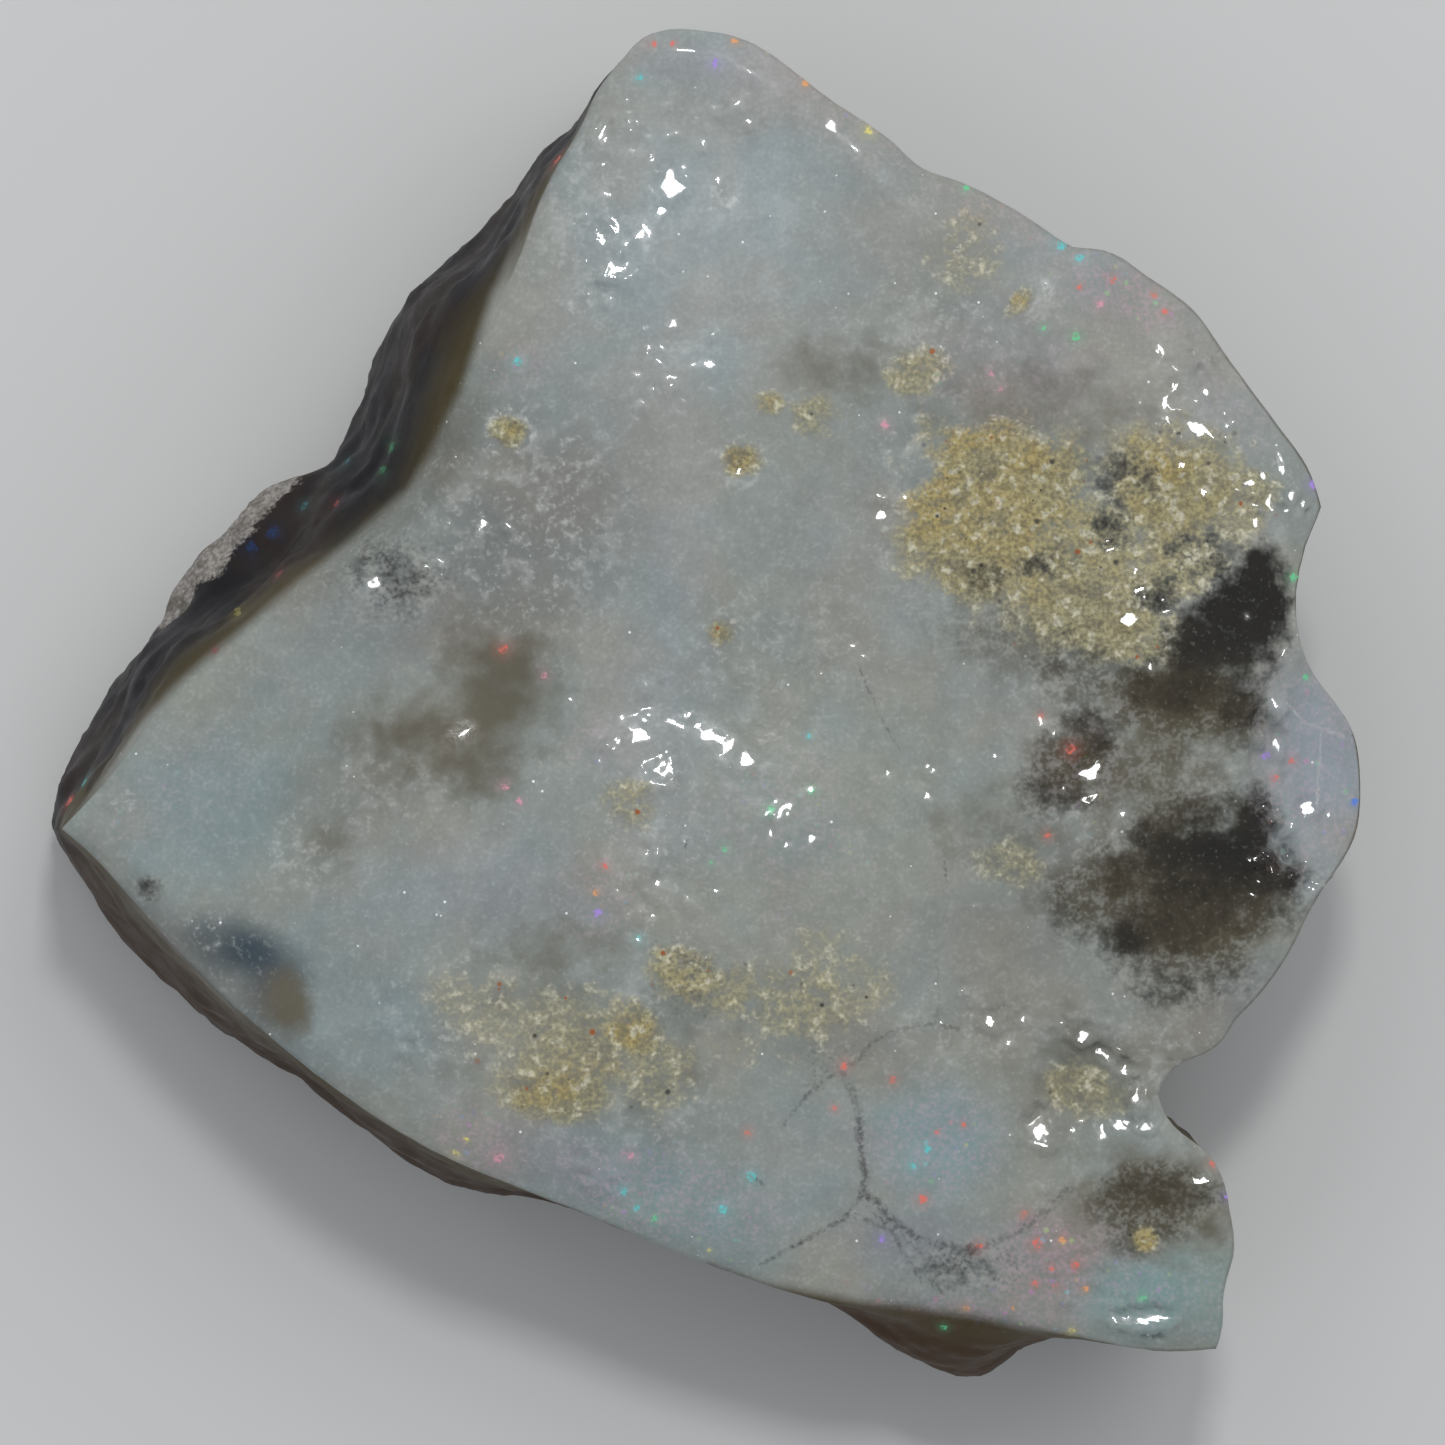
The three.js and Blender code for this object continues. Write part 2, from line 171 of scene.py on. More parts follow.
# Soft patches on the face: x, y, half width, half height, turn in degrees, strength
patches = {
    "sand": [
        (9, 6.3, 2.9, 2.5, 10, 1), (7.9, 4.9, 2.1, 1.6, 0, 0.95), (11.4, 4.3, 2.6, 2.3, 20, 0.9),
        (12.4, 2.6, 1.9, 1.2, -10, 0.95), (14.3, 6.7, 2.3, 1.9, 0, 0.95), (16.2, 6.3, 1.2, 1.3, 0, 0.7),
        (14.1, 4.5, 1.6, 1.3, 0, 0.8), (-6.2, -9.2, 2.2, 1.4, -20, 0.45), (-4.4, -9.4, 2, 1.3, 0, 0.5),
        (-3.6, -10.4, 2.5, 1.6, 15, 0.65), (-4.1, -11.5, 1.8, 0.9, 5, 0.8), (-2, -9.7, 1, 0.9, 0, 0.85),
        (-1.3, -11, 1.5, 1.3, 0, 0.55), (-0.4, -7.9, 1.3, 1, -30, 0.8), (0.9, -8.4, 1.2, 0.9, 0, 0.65),
        (3, -8.6, 2.2, 1.4, 0, 0.6), (3.6, -7.2, 1.2, 1, 0, 0.4), (4.6, -8.1, 1.4, 1, 0, 0.45),
        (2, -10, 2.4, 1, 0, 0.3), (6.6, 10.2, 1.1, 0.8, 20, 0.7), (2.1, 9.2, 0.5, 0.4, 0, 0.7),
        (3.4, 8.8, 0.9, 0.8, 0, 0.6), (8.1, 13.8, 1.2, 1.5, -20, 0.45), (9.6, 12.3, 0.55, 0.35, 40, 0.75),
        (1.2, 7.5, 0.65, 0.55, 0, 1), (-5.7, 8.4, 0.55, 0.45, 0, 1), (0.6, 2.3, 0.5, 0.45, 0, 0.8),
        (-2, -2.8, 0.95, 0.8, 0, 0.6), (11.6, -11.4, 1.4, 0.9, -20, 0.6), (13.4, -15.9, 0.42, 0.42, 0, 1),
        (9.2, -4.6, 1.2, 0.8, 0, 0.5),
    ],
    "yellow": [
        (6.9, 6.4, 1.1, 1.7, 15, 1), (8.3, 8.3, 1.6, 0.9, 10, 1), (10.3, 7.6, 1.5, 1.1, 0, 0.75),
        (9.2, 5.6, 3.4, 2.8, 0, 0.65), (14, 6.4, 2.6, 2.2, 0, 0.45), (12.6, 3.2, 2, 1.4, 0, 0.3),
        (13.4, -15.9, 0.5, 0.5, 0, 1), (14, 7.4, 1.5, 1.1, 0, 0.75), (12.2, 5.6, 1.2, 0.9, 0, 0.35),
        (-2, -9.6, 0.8, 0.6, 0, 1), (-4.7, -11.4, 1.1, 0.6, 0, 0.85), (-3.2, -10.6, 1, 0.7, 0, 0.5),
        (0, -8.2, 1.3, 0.7, -15, 0.45), (3.4, -8.4, 1.1, 0.8, 0, 0.45), (1.2, 7.5, 0.6, 0.5, 0, 1),
        (-5.7, 8.4, 0.35, 0.3, 0, 1), (0.6, 2.3, 0.4, 0.4, 0, 0.8), (2.1, 9.2, 0.4, 0.4, 0, 0.8),
        (9.6, 12.3, 0.5, 0.4, 0, 0.8), (8.1, 13.8, 1, 1.2, 0, 0.4),
    ],
    "smoke": [
        (16.1, 3, 1.5, 1.7, -30, 1), (15.4, 1.9, 1.9, 1.5, 20, 1), (16.7, 3.9, 0.8, 1.2, 0, 0.95),
        (14.8, 0.7, 2.5, 1.4, 10, 0.9), (16.1, 0.2, 1.2, 1.2, 0, 0.85), (15.2, 4.7, 1.7, 0.9, 0, 0.5),
        (16.5, -3.8, 0.9, 1.4, -20, 1), (16.2, -4.7, 2.1, 1.2, -15, 1), (14.4, -4.5, 2.1, 1.3, 0, 1),
        (12.8, -4.9, 1.6, 1.1, 0, 0.75), (14.9, -6, 2.9, 1.5, 10, 0.97), (14.8, -5.5, 2.3, 1.1, 0, 1),
        (15, -3.1, 1.6, 0.8, 0, 0.7), (14.4, -7.6, 2.6, 1.4, 0, 0.5), (12.2, -5.9, 2, 1.3, 0, 0.5),
        (13.6, -1.8, 3.4, 2, 0, 0.26), (11.6, -0.9, 1.4, 1.1, 30, 0.66), (10.8, -2.2, 1.3, 1.1, 20, 0.6),
        (11.6, 1.4, 2.4, 1.6, 0, 0.36), (12.8, 6.9, 1.1, 1.3, 0, 0.55), (12.2, 5.3, 0.8, 0.9, 0, 0.62),
        (10.1, 4.4, 0.9, 0.5, 20, 0.62), (8.7, 4, 1.1, 0.6, 30, 0.5), (13.7, 3.5, 1, 0.7, 0, 0.7),
        (9, 2.4, 2.8, 1.2, 0, 0.25), (9, -4, 2.2, 1.2, 0, 0.22), (13.7, -14.4, 1.7, 0.8, 0, 0.72),
        (14.6, -14.6, 1.2, 0.6, 0, 0.7), (13.4, -15.2, 1.8, 1.2, 0, 0.5), (-16.5, -5.3, 0.5, 0.4, 0, 0.6),
        (8, -16.7, 2, 0.9, 0, 0.36), (-9.1, 4, 1.6, 1.2, 0, 0.42),
    ],
    "brown": [
        (-6.1, 0.5, 1.8, 2.1, 0, 0.9), (-7.4, -0.9, 2.6, 1.7, 0, 0.75), (-9.2, -0.7, 2.2, 1.6, 0, 0.45),
        (-11, -4.1, 1, 1.4, 0, 0.4), (-4.4, -7.2, 2.4, 1, 0, 0.5), (4.2, 10.2, 2, 1.3, 0, 0.45),
        (15.2, -6.3, 2.6, 1.5, 0, 1), (14.4, 0, 2.4, 1.5, 0, 1), (12.6, -5.4, 2.4, 1.5, 0, 0.8),
        (13.4, -1.8, 3, 2, 0, 0.75), (11.2, -1.4, 1.6, 1.2, 0, 0.8), (13.7, -14.8, 2.4, 1.8, 0, 0.85),
        (8.8, 4, 1.4, 0.8, 30, 0.7), (11.6, -10.6, 2.4, 1.6, -15, 0.45), (9, -3.4, 2.4, 1.6, 0, 0.45),
        (-12.4, -8.8, 0.8, 1.1, 0, 0.9), (1.6, -1.6, 2, 1.2, 0, 0.25), (10.4, 8.6, 4.2, 2.2, 0, 0.4),
        (10.8, 2, 3.4, 1.8, 0, 0.5), (-3, -10, 5.2, 2.8, 0, 0.35),
    ],
    "pepper": [  # black grains as fine as dust
        (-9.1, 4, 1.7, 1.3, 0, 0.8), (8, -16.7, 2, 0.8, 0, 0.7), (12.8, 6.4, 1.2, 1.6, 0, 0.5),
        (15.2, 4.4, 1.5, 1, 0, 0.9), (9, 5, 3, 2.6, 0, 0.25), (3.9, -10.8, 1, 0.9, 0, 0.35),
        (-0.4, -8, 1.4, 1, 0, 0.4),
    ],
    "clumps": [  # chalky white grains close under the surface
        (6.2, 8.4, 1.4, 0.7, 50, 0.9), (5.9, 5.4, 0.7, 1.6, 0, 0.9), (13.4, 3, 2.2, 1.1, 10, 0.9),
        (10, 3, 2.2, 0.8, -20, 0.8), (-5, 5.4, 3, 3.2, 0, 0.75), (-3.2, 14.6, 1.6, 2.6, 0, 0.55),
        (-6.4, -9.2, 2.6, 1.8, 0, 0.85), (-1.6, -11.6, 2, 1.4, 0, 0.7), (-2.2, -8.8, 2, 1, 0, 0.5),
        (3.4, -8.6, 2.4, 1.6, 0, 0.5), (-11.8, -4.3, 1, 1.2, 0, 0.9), (-14.7, -6.7, 0.7, 0.5, 0, 1),
        (-17.4, -2.7, 0.5, 0.5, 0, 0.8), (-9, -2, 2.4, 1.6, 0, 0.45), (-1.5, -3.2, 1.6, 3.4, 0, 0.55),
        (11.3, -3.2, 0.9, 0.9, 0, 1), (12, -3.8, 0.8, 0.6, 0, 1), (15, -1.8, 1.3, 1.1, 0, 0.9),
        (11.3, -4.8, 0.8, 0.6, 0, 0.9), (13.6, -1.4, 2.4, 1.4, 0, 0.6), (11.4, 1.8, 2.6, 1.6, 0, 0.7),
        (7.4, 11, 2.6, 1.8, 0, 0.5), (15.8, 5.2, 1.4, 1.2, 0, 0.7), (1.8, 1.8, 2.8, 2.2, 0, 0.35),
        (13, -10.6, 2, 1.4, 0, 0.55), (7.5, -9.8, 2.4, 1.4, 0, 0.3), (-2.4, -12.6, 2.6, 1, 0, 0.4),
    ],
    "glow": [  # where tiny flecks of every colour lie thickest
        (-1, -14.6, 3.4, 1.6, -15, 0.8), (7.2, -12.9, 2.2, 1.7, 0, 0.75), (10.6, -16.6, 1.8, 1.5, 0, 1),
        (7.8, -18.2, 3.4, 0.6, -5, 1), (13.8, -17.6, 2.2, 1.2, 0, 0.6), (12.9, 12.5, 1.8, 1, -30, 0.9),
        (18.6, -1.4, 1.7, 3.2, 0, 0.7), (2.6, -3.6, 2.6, 2.2, 0, 0.4), (-3.2, -1, 1, 0.8, 0, 0.5),
        (-3, -5.6, 1.2, 1.4, 0, 0.5), (4.4, 18, 3.2, 1.2, -30, 0.45), (9.8, 14.6, 3.4, 1, -30, 0.45),
        (-6.6, -12.9, 1.6, 1, -30, 0.7), (-5.4, 10.4, 1, 0.8, 0, 0.5), (9, 10, 2.4, 1.6, 0, 0.35),
        (11.4, -2.2, 1.4, 2.4, 0, 0.2), (16.4, 9.2, 1.6, 1, -50, 0.4), (-15.6, -2.4, 2.6, 1.6, 30, 0.3),
    ],
}

# Small discs with a pale ring: x, y, the ring's radius, half its width, strength
discRagged = (0.4, 0.12, 57.0)
discs = [
    (-5.7, 8.4, 0.62, 0.2, 0.9), (0.65, 15.3, 0.25, 0.3, 0.9), (-3.5, 12.3, 0.2, 0.3, 0.6),
    (0.6, 2.3, 0.42, 0.2, 0.5), (13.5, -15.9, 0.3, 0.25, 0.8), (1.2, 7.5, 0.65, 0.2, 0.5),
    (-3.9, 7.6, 0.3, 0.5, 0.6),
]

# Where the borders of each kind of patch begin and end, as shares of its size
borders = {
    "sand": (1.45, 0.45),
    "yellow": (1.5, 0.2),
    "smoke": (1.6, 0.25),
    "brown": (1.6, 0.2),
    "pepper": (1.5, 0.3),
    "clumps": (1.5, 0.3),
    "glow": (1.5, 0.4),
    "body": (1.6, 0.2),
}

# The milky body and the places where its colour leans another way: the same six numbers and a colour
body = {
    "colour": (0.275, 0.291, 0.266),
    "ragged": ((2.4, 0.25, 61.0), (0.9, 0.12, 63.0)),  # borders of both sizes
    "leans": [
        (0, 15, 5, 5.5, 0, 0.9, (0.345, 0.375, 0.375)),  # the tall lobe at the top
        (-2.2, 8, 3.4, 6, -10, 0.5, (0.295, 0.32, 0.32)), (10.5, 14, 4, 2, -30, 0.6, (0.31, 0.335, 0.33)),
        (15.2, 9.6, 2.2, 3, -30, 0.6, (0.33, 0.335, 0.32)),
        (-14.5, -2.6, 4.5, 2.6, 35, 0.9, (0.24, 0.29, 0.285)),  # the bluer lobe on the left
        (-10.6, -8.4, 3.6, 2.2, -45, 0.8, (0.235, 0.28, 0.285)),
        (-11.5, 1.5, 3, 1.6, 45, 0.5, (0.24, 0.27, 0.27)), (-5, 6, 3.6, 3, 0, 0.7, (0.185, 0.19, 0.18)),
        (-10.8, -7.2, 1.8, 1.2, -45, 0.6, (0.2, 0.24, 0.24)), (-9, 3, 2.6, 2, 0, 0.5, (0.23, 0.24, 0.235)),
        (-6.6, 2.9, 2.4, 1.8, 0, 0.6, (0.19, 0.185, 0.17)),
        (10.4, -11.8, 2, 1.8, 0, 0.6, (0.205, 0.2, 0.165)),
        (14.3, -9.6, 2, 1.2, -20, 0.6, (0.235, 0.23, 0.205)), (13.6, -7, 2.2, 1, 0, 0.5, (0.2, 0.195, 0.165)),
        (-1.4, -1.2, 1.6, 3.4, 0, 0.7, (0.33, 0.345, 0.345)),  # the pale ridge
        (-0.6, 5, 1.2, 3.4, 0, 0.5, (0.315, 0.33, 0.33)), (0, -3.6, 2.2, 2.2, 0, 0.4, (0.295, 0.315, 0.3)),
        (3.6, -3.6, 3.6, 3, 0, 0.6, (0.262, 0.305, 0.28)), (-6.4, -5, 2.6, 1.6, 0, 0.6, (0.285, 0.3, 0.31)),
        (-9.6, -5.6, 1.6, 1.6, 0, 0.5, (0.265, 0.295, 0.3)), (5, 5, 2.6, 3.6, 0, 0.35, (0.285, 0.29, 0.285)),
        (9.6, 10.8, 3, 1.8, 0, 0.5, (0.275, 0.265, 0.255)), (5, 14, 3, 2.4, 0, 0.4, (0.265, 0.285, 0.28)),
        (9.5, 0.6, 2.4, 1.8, 0, 0.5, (0.25, 0.255, 0.24)), (12.4, -1.6, 2.6, 3, 0, 0.45, (0.22, 0.22, 0.195)),
        (10.4, 3.3, 1.6, 1, 0, 0.6, (0.16, 0.155, 0.12)), (9.4, -6.4, 2.3, 1.3, 0, 0.6, (0.175, 0.175, 0.15)),
        (10.4, -4.5, 1.4, 1.2, 0, 0.6, (0.17, 0.165, 0.14)),
        (-10.6, -2.4, 2, 1.5, 0, 0.5, (0.19, 0.195, 0.18)),
        (-6.6, -1.4, 1.8, 1.2, 0, 0.45, (0.15, 0.145, 0.125)), (4.2, -10, 2, 1.3, 0, 0.5, (0.21, 0.21, 0.19)),
        (-5.2, -5.6, 1.8, 1.4, 0, 0.4, (0.215, 0.22, 0.21)),
        (-7.4, 8.2, 2.2, 0.7, 62, 0.6, (0.13, 0.125, 0.1)),  # the olive edge shows through
        (-10, 5.1, 2.6, 0.6, 40, 0.5, (0.13, 0.125, 0.1)), (16.6, 5.4, 1, 1.2, 0, 0.6, (0.37, 0.37, 0.34)),
        (11.2, 10.2, 1.6, 1.2, 0, 0.6, (0.33, 0.325, 0.31)), (8.5, -6.5, 3, 2, 0, 0.5, (0.255, 0.265, 0.25)),
        (-1, -14.8, 3.6, 1.6, -15, 0.9, (0.215, 0.29, 0.29)),  # teal glow under the surface
        (-4.6, -13.4, 2.4, 1.2, -20, 0.6, (0.27, 0.27, 0.28)),
        (7.3, -12.9, 2.2, 1.8, 0, 0.9, (0.245, 0.325, 0.325)),
        (3.2, -13.6, 1.8, 2, 0, 0.6, (0.265, 0.3, 0.3)), (6.4, -16, 1.8, 1, 0, 0.6, (0.245, 0.245, 0.265)),
        (10.9, -16.4, 1.6, 1.6, 0, 0.7, (0.26, 0.24, 0.23)),
        (14, -17.6, 2.4, 1.4, 0, 0.9, (0.215, 0.32, 0.305)),
        (14.6, -13, 1.6, 1.2, 0, 0.5, (0.275, 0.3, 0.29)),
        (18.6, -1.6, 1.8, 3.6, 0, 0.9, (0.302, 0.337, 0.356)),
        (16.6, -8.8, 2.2, 1.4, -30, 0.7, (0.275, 0.265, 0.26)),
        (14.9, -8.4, 1.8, 1, 0, 0.5, (0.17, 0.165, 0.14)), (10, -8.6, 2.4, 1.4, 0, 0.5, (0.24, 0.24, 0.22)),
        (0.5, 19.4, 3, 0.8, -10, 0.6, (0.33, 0.335, 0.345)),
        (-15.2, -7.8, 5.2, 1.1, -41, 0.65, (0.15, 0.165, 0.165)),  # darker towards the low left edge
        (-13.5, -7.3, 1.6, 0.9, -25, 0.95, (0.035, 0.055, 0.072)),  # a blue shadow
        (-12.7, -8.6, 0.9, 0.9, 0, 0.75, (0.085, 0.085, 0.08)),
    ],
}

veinReach = 0.42  # what lies further from a line isn't touched by it
veinFade = 0.6  # a line begins to fade at this share of its reach
# Branching lines: points x, y, then half the line's width, and how dark it is (pale below zero)
veins = [
    ([(4.28, -10.77), (3.74, -10.29)], 0.05, 0.35),
    ([(4.28, -10.77), (3.59, -11.22), (3.11, -11.64), (2.72, -12.15), (2.5, -12.5)], 0.05, 0.55),
    ([(4.28, -10.77), (4.64, -11.61), (4.79, -12.06), (4.82, -12.84)], 0.11, 0.7),
    ([(4.82, -12.84), (4.88, -13.53), (5.0, -13.98), (4.86, -14.5)], 0.09, 0.75),
    ([(4.79, -12.06), (5.15, -11.82)], 0.05, 0.45),
    ([(4.86, -14.5), (4.64, -14.82), (4.34, -15.27), (3.74, -15.57), (3.11, -15.96), (2.51, -16.26),
      (1.88, -16.65)], 0.06, 0.8),
    ([(4.86, -14.5), (5.27, -14.67), (5.72, -15.27), (6.14, -15.51), (6.65, -15.9)], 0.10, 0.8),
    ([(6.65, -15.9), (7.4, -16.08), (8.18, -16.2), (8.93, -15.96), (9.56, -15.66)], 0.10, 0.45),
    ([(9.56, -15.66), (10.31, -15.12), (11.15, -14.34)], 0.13, 0.5),
    ([(4.94, -15.27), (5.81, -15.63), (6.11, -16.26), (6.47, -16.8), (6.71, -17.28)], 0.06, 0.5),
    ([(4.28, -10.77), (4.73, -10.53), (5.18, -9.93), (5.87, -9.6), (6.47, -9.42), (7.16, -9.39),
      (7.79, -9.57)], 0.06, 0.45),
    ([(7.13, -9.35), (7.2, -8.6), (7.1, -7.47)], 0.04, 0.3),
    ([(4.76, 1.35), (5.15, 0.51), (5.54, -0.42), (5.99, -1.14)], 0.035, 0.45),
    ([(1.7, -14.05), (1.9, -14.25)], 0.05, 0.7),
    ([(7.15, -17.3), (7.35, -17.6)], 0.05, 0.6),
    ([(-0.35, -3.8), (-0.45, -4.15)], 0.03, 0.7),
    ([(7.33, -4.5), (7.40, -5.05)], 0.035, 0.7),
    ([(-5.3, -13.6), (-5.5, -13.9)], 0.04, 0.6),
    ([(17.66, 0.24), (18.2, -0.36), (19.34, -0.75)], 0.045, -0.75),  # pale cracks
    ([(18.71, -0.66), (18.65, -1.74), (18.59, -2.82)], 0.045, -0.75),
    ([(16.97, -0.66), (17.03, -0.96), (16.94, -1.2)], 0.04, -0.5),
]

# Flecks of pure colour: x, y and half the width, by colour
fleckColours = {
    "red": (0.72, 0.15, 0.11),
    "orange": (0.78, 0.34, 0.12),
    "yellow": (0.75, 0.66, 0.16),
    "green": (0.12, 0.62, 0.28),
    "teal": (0.10, 0.55, 0.56),
    "blue": (0.07, 0.20, 0.72),
    "violet": (0.38, 0.24, 0.72),
    "pink": (0.68, 0.30, 0.38),
    "dimRed": (0.20, 0.05, 0.05),
    "dimYellow": (0.22, 0.19, 0.05),
    "dimGreen": (0.04, 0.20, 0.09),
    "dimTeal": (0.04, 0.14, 0.15),
    "dimBlue": (0.015, 0.035, 0.10),
}
flecks = {
    "dimRed": [(-10.09, 5.61, 0.1), (-11.02, 6.33, 0.12), (-12.67, 4.14, 0.14), (-14.56, 1.83, 0.12)],
    "dimYellow": [(-13.93, 2.97, 0.15)],
    "dimGreen": [(-9.31, 7.95, 0.19), (-9.55, 7.26, 0.15), (-10.27, 5.34, 0.1)],
    "dimTeal": [(-10.72, 7.62, 0.17), (-12.04, 6.27, 0.14)],
    "dimBlue": [(-13.6, 5.0, 0.22), (-13.0, 5.4, 0.24)],
    "red": [
        (12.44, 12.9, 0.13), (13.07, 12.48, 0.17), (13.64, 12.48, 0.1), (13.97, 12, 0.11),
        (11.42, 12.72, 0.08), (11.15, -1.14, 0.14), (10.25, -0.15, 0.08), (10.43, -3.75, 0.1),
        (-2.86, -4.65, 0.1), (1.46, -12.66, 0.1), (4.34, -10.65, 0.13), (4.04, -11.91, 0.08),
        (5.81, -11.07, 0.1), (7.94, -12.42, 0.08), (7.13, -12.69, 0.08), (6.68, -14.67, 0.13),
        (8.39, -16.11, 0.12), (4.55, -17.19, 0.1), (10.16, -16.02, 0.16), (10.61, -16.83, 0.14),
        (10.1, -17.25, 0.1), (10.7, -17.25, 0.12), (11.3, -16.68, 0.13), (9.77, -15.15, 0.1),
        (10.43, -18.39, 0.1), (17.81, -1.5, 0.1), (17.33, -2.01, 0.09), (15.47, -13.62, 0.1),
        (-19.09, -2.7, 0.17), (-1.3, 20, 0.13), (-0.85, 20, 0.1), (-4.3, 16.6, 0.16), (-5.89, 1.86, 0.14),
    ],
    "orange": [
        (17.84, 1.35, 0.09), (-3.1, -5.46, 0.09), (-3.34, -0.8, 0.08), (3.17, 18.81, 0.09),
        (-11.7, -8.1, 0.1), (6.56, -18, 0.13), (9.44, -18.05, 0.15), (8.03, -18, 0.1), (1.07, 20.1, 0.1),
        (10.9, -15.9, 0.1), (9.9, -18.3, 0.1), (11.6, -17.4, 0.09),
    ],
    "yellow": [
        (-0.01, -15.9, 0.13), (-0.25, -16.08, 0.12), (-6.64, -12.36, 0.1), (-7.27, -13.25, 0.12),
        (5.09, 17.4, 0.13), (0.3, -16.2, 0.08), (-7, -12.9, 0.09), (11.2, -18.7, 0.1),
    ],
    "green": [
        (12.8, 12.57, 0.08), (11.3, 11.22, 0.12), (10.31, 11.49, 0.08), (2.15, -2.97, 0.12),
        (0.71, -4.2, 0.14), (0.4, -4.5, 0.08), (3.38, -2.4, 0.1), (-1.36, -15.24, 0.1), (13.37, -17.64, 0.1),
        (7.37, -18.62, 0.1), (10.25, -18.66, 0.12), (18.2, 1.02, 0.09), (17.87, 4.02, 0.12),
        (-11.6, -7.95, 0.13), (8, 15.7, 0.09), (-6.4, -12.1, 0.09),
    ],
    "teal": [
        (3.29, -0.75, 0.08), (-1.81, -6.81, 0.1), (1.58, -13.98, 0.14), (0.68, -14.97, 0.13),
        (6.86, -13.14, 0.12), (6.41, -13.68, 0.1), (-2.26, -14.43, 0.12), (-1.87, -14.91, 0.1),
        (10.9, 14, 0.16), (11.4, 13.6, 0.12), (6.8, -17.79, 0.1), (10.1, -18.39, 0.12), (19.58, -2.19, 0.13),
        (-18.67, -2.19, 0.2), (-5.44, 10.47, 0.13), (-1.78, 19, 0.1), (8.78, -18.2, 0.1),
    ],
    "blue": [
        (19.49, -1.83, 0.1), (19.73, -2.73, 0.12), (-3.1, -0.95, 0.07), (8.5, -18.3, 0.12), (9.2, -18.3, 0.1),
    ],
    "violet": [
        (17.78, 1.62, 0.11), (-3.04, -6.03, 0.12), (15.89, -14.61, 0.1), (5.48, -15.9, 0.1),
        (4.88, -17.28, 0.12), (18.44, 6.8, 0.13), (0.47, 19.4, 0.12), (17.12, -1.35, 0.09),
    ],
    "pink": [
        (8.78, 10.05, 0.14), (5.57, 8.58, 0.12), (-6.04, -13.4, 0.16), (-2.08, -13.35, 0.12),
        (19.34, -1.56, 0.12), (-5.8, -2.28, 0.14), (-5.41, -2.7, 0.1), (-4.66, 1.08, 0.1), (9, 9.7, 0.1),
        (12, 12.2, 0.12),
    ],
}
fleckSpots = [(x, y, radius, name) for name, group in flecks.items() for x, y, radius in group]
fleckStretch = Vector((1.0, 1.0, 0.5))  # flecks run down the walls
overStone = 20.0  # the height from which the stone is sounded for them

smoothPlaces = [
    (18.9, -1.6, 2, 3.4, 0, 1),  # the lobe on the right
    (13.2, -11.2, 1.5, 1.4, 0, 0.8),  # beside the notch
    (13.6, -18.3, 1.6, 0.7, -5, 0.9), (10.3, -12.6, 0.5, 0.7, 0, 0.9), (16.7, 7.2, 1, 2.4, 20, 0.6),
]
roughPlaces = [  # where the face is knobbly and glitters
    (-2.6, 16.6, 1.4, 1.8, 0, 0.8), (-2.6, 13.8, 0.9, 1.4, 0, 0.9), (0.9, 18, 1, 0.7, 0, 0.6),
    (-0.9, 10, 0.5, 1.4, 10, 0.8), (-6.6, 5.4, 0.6, 1, 0, 0.9), (-1.6, -1.4, 1.4, 1.4, 0, 1),
    (-0.9, -5.2, 0.9, 1.6, 0, 0.8), (-8.7, -10.2, 0.7, 0.6, 0, 0.9), (15.2, 8.8, 2, 1, -30, 0.9),
    (12.6, -10.8, 1.2, 1.6, 20, 0.6), (14.6, -15, 1.2, 2.2, 0, 0.6), (11.6, -17, 0.8, 1, 0, 0.6),
    (0.9, -1.2, 1.5, 1, -30, 1),
]
knuckles = [  # small bumps that catch the light: x, y, radius, height
    (-3.07, 17.4, 0.5, 0.11), (-1.99, 17.4, 0.45, 0.09), (-0.85, 15.8, 0.75, 0.17), (-3, 14.4, 0.5, 0.11),
    (-2.4, 13.3, 0.7, 0.15), (0.9, 18, 0.6, 0.13), (-1.4, 10.6, 0.4, 0.08), (-0.85, 9.7, 0.4, 0.08),
    (-6.7, 5.3, 0.5, 0.11), (-1.65, 0.6, 0.45, 0.09), (-2.8, -1, 0.5, 0.1), (-2.1, -1.6, 0.5, 0.11),
    (-1.2, -1.8, 0.85, 0.19), (-1.05, -4.5, 0.45, 0.09), (-2.2, -5.6, 0.45, 0.09), (-0.25, -5.8, 0.4, 0.08),
    (-8.9, -9.9, 0.5, 0.1), (-8.5, -10.5, 0.4, 0.08), (3.8, 1.9, 0.5, 0.11), (5.45, 5.9, 0.5, 0.12),
    (12.9, 2.8, 0.6, 0.13), (11.75, -1.8, 0.55, 0.13), (15.1, 10.4, 0.6, 0.12), (14.6, 8.7, 0.8, 0.17),
    (16.1, 8.7, 0.5, 0.1), (17.6, 7.4, 0.4, 0.08), (17, 6.2, 0.9, 0.2), (18.3, -3, 0.5, 0.11),
    (16.8, -0.9, 0.45, 0.11), (17.8, -4.8, 0.5, 0.12), (9.1, -8.8, 0.4, 0.09), (8.7, -9.3, 0.5, 0.11),
    (11.5, -9.75, 0.5, 0.11), (12.7, -10.7, 0.5, 0.11), (13.2, -11.5, 0.7, 0.16), (10.25, -12.6, 0.95, 0.11),
    (15.1, -14.2, 0.5, 0.1), (15.2, -15.4, 0.4, 0.09), (11.4, -16.5, 0.4, 0.08), (12.1, -16.9, 0.5, 0.1),
    (13.5, -18.4, 1, 0.15), (2.2, -3.4, 0.3, 0.06), (7.5, -6, 0.35, 0.07), (-2.6, -14, 0.3, 0.06),
    (6.9, -2, 0.35, 0.07),
]
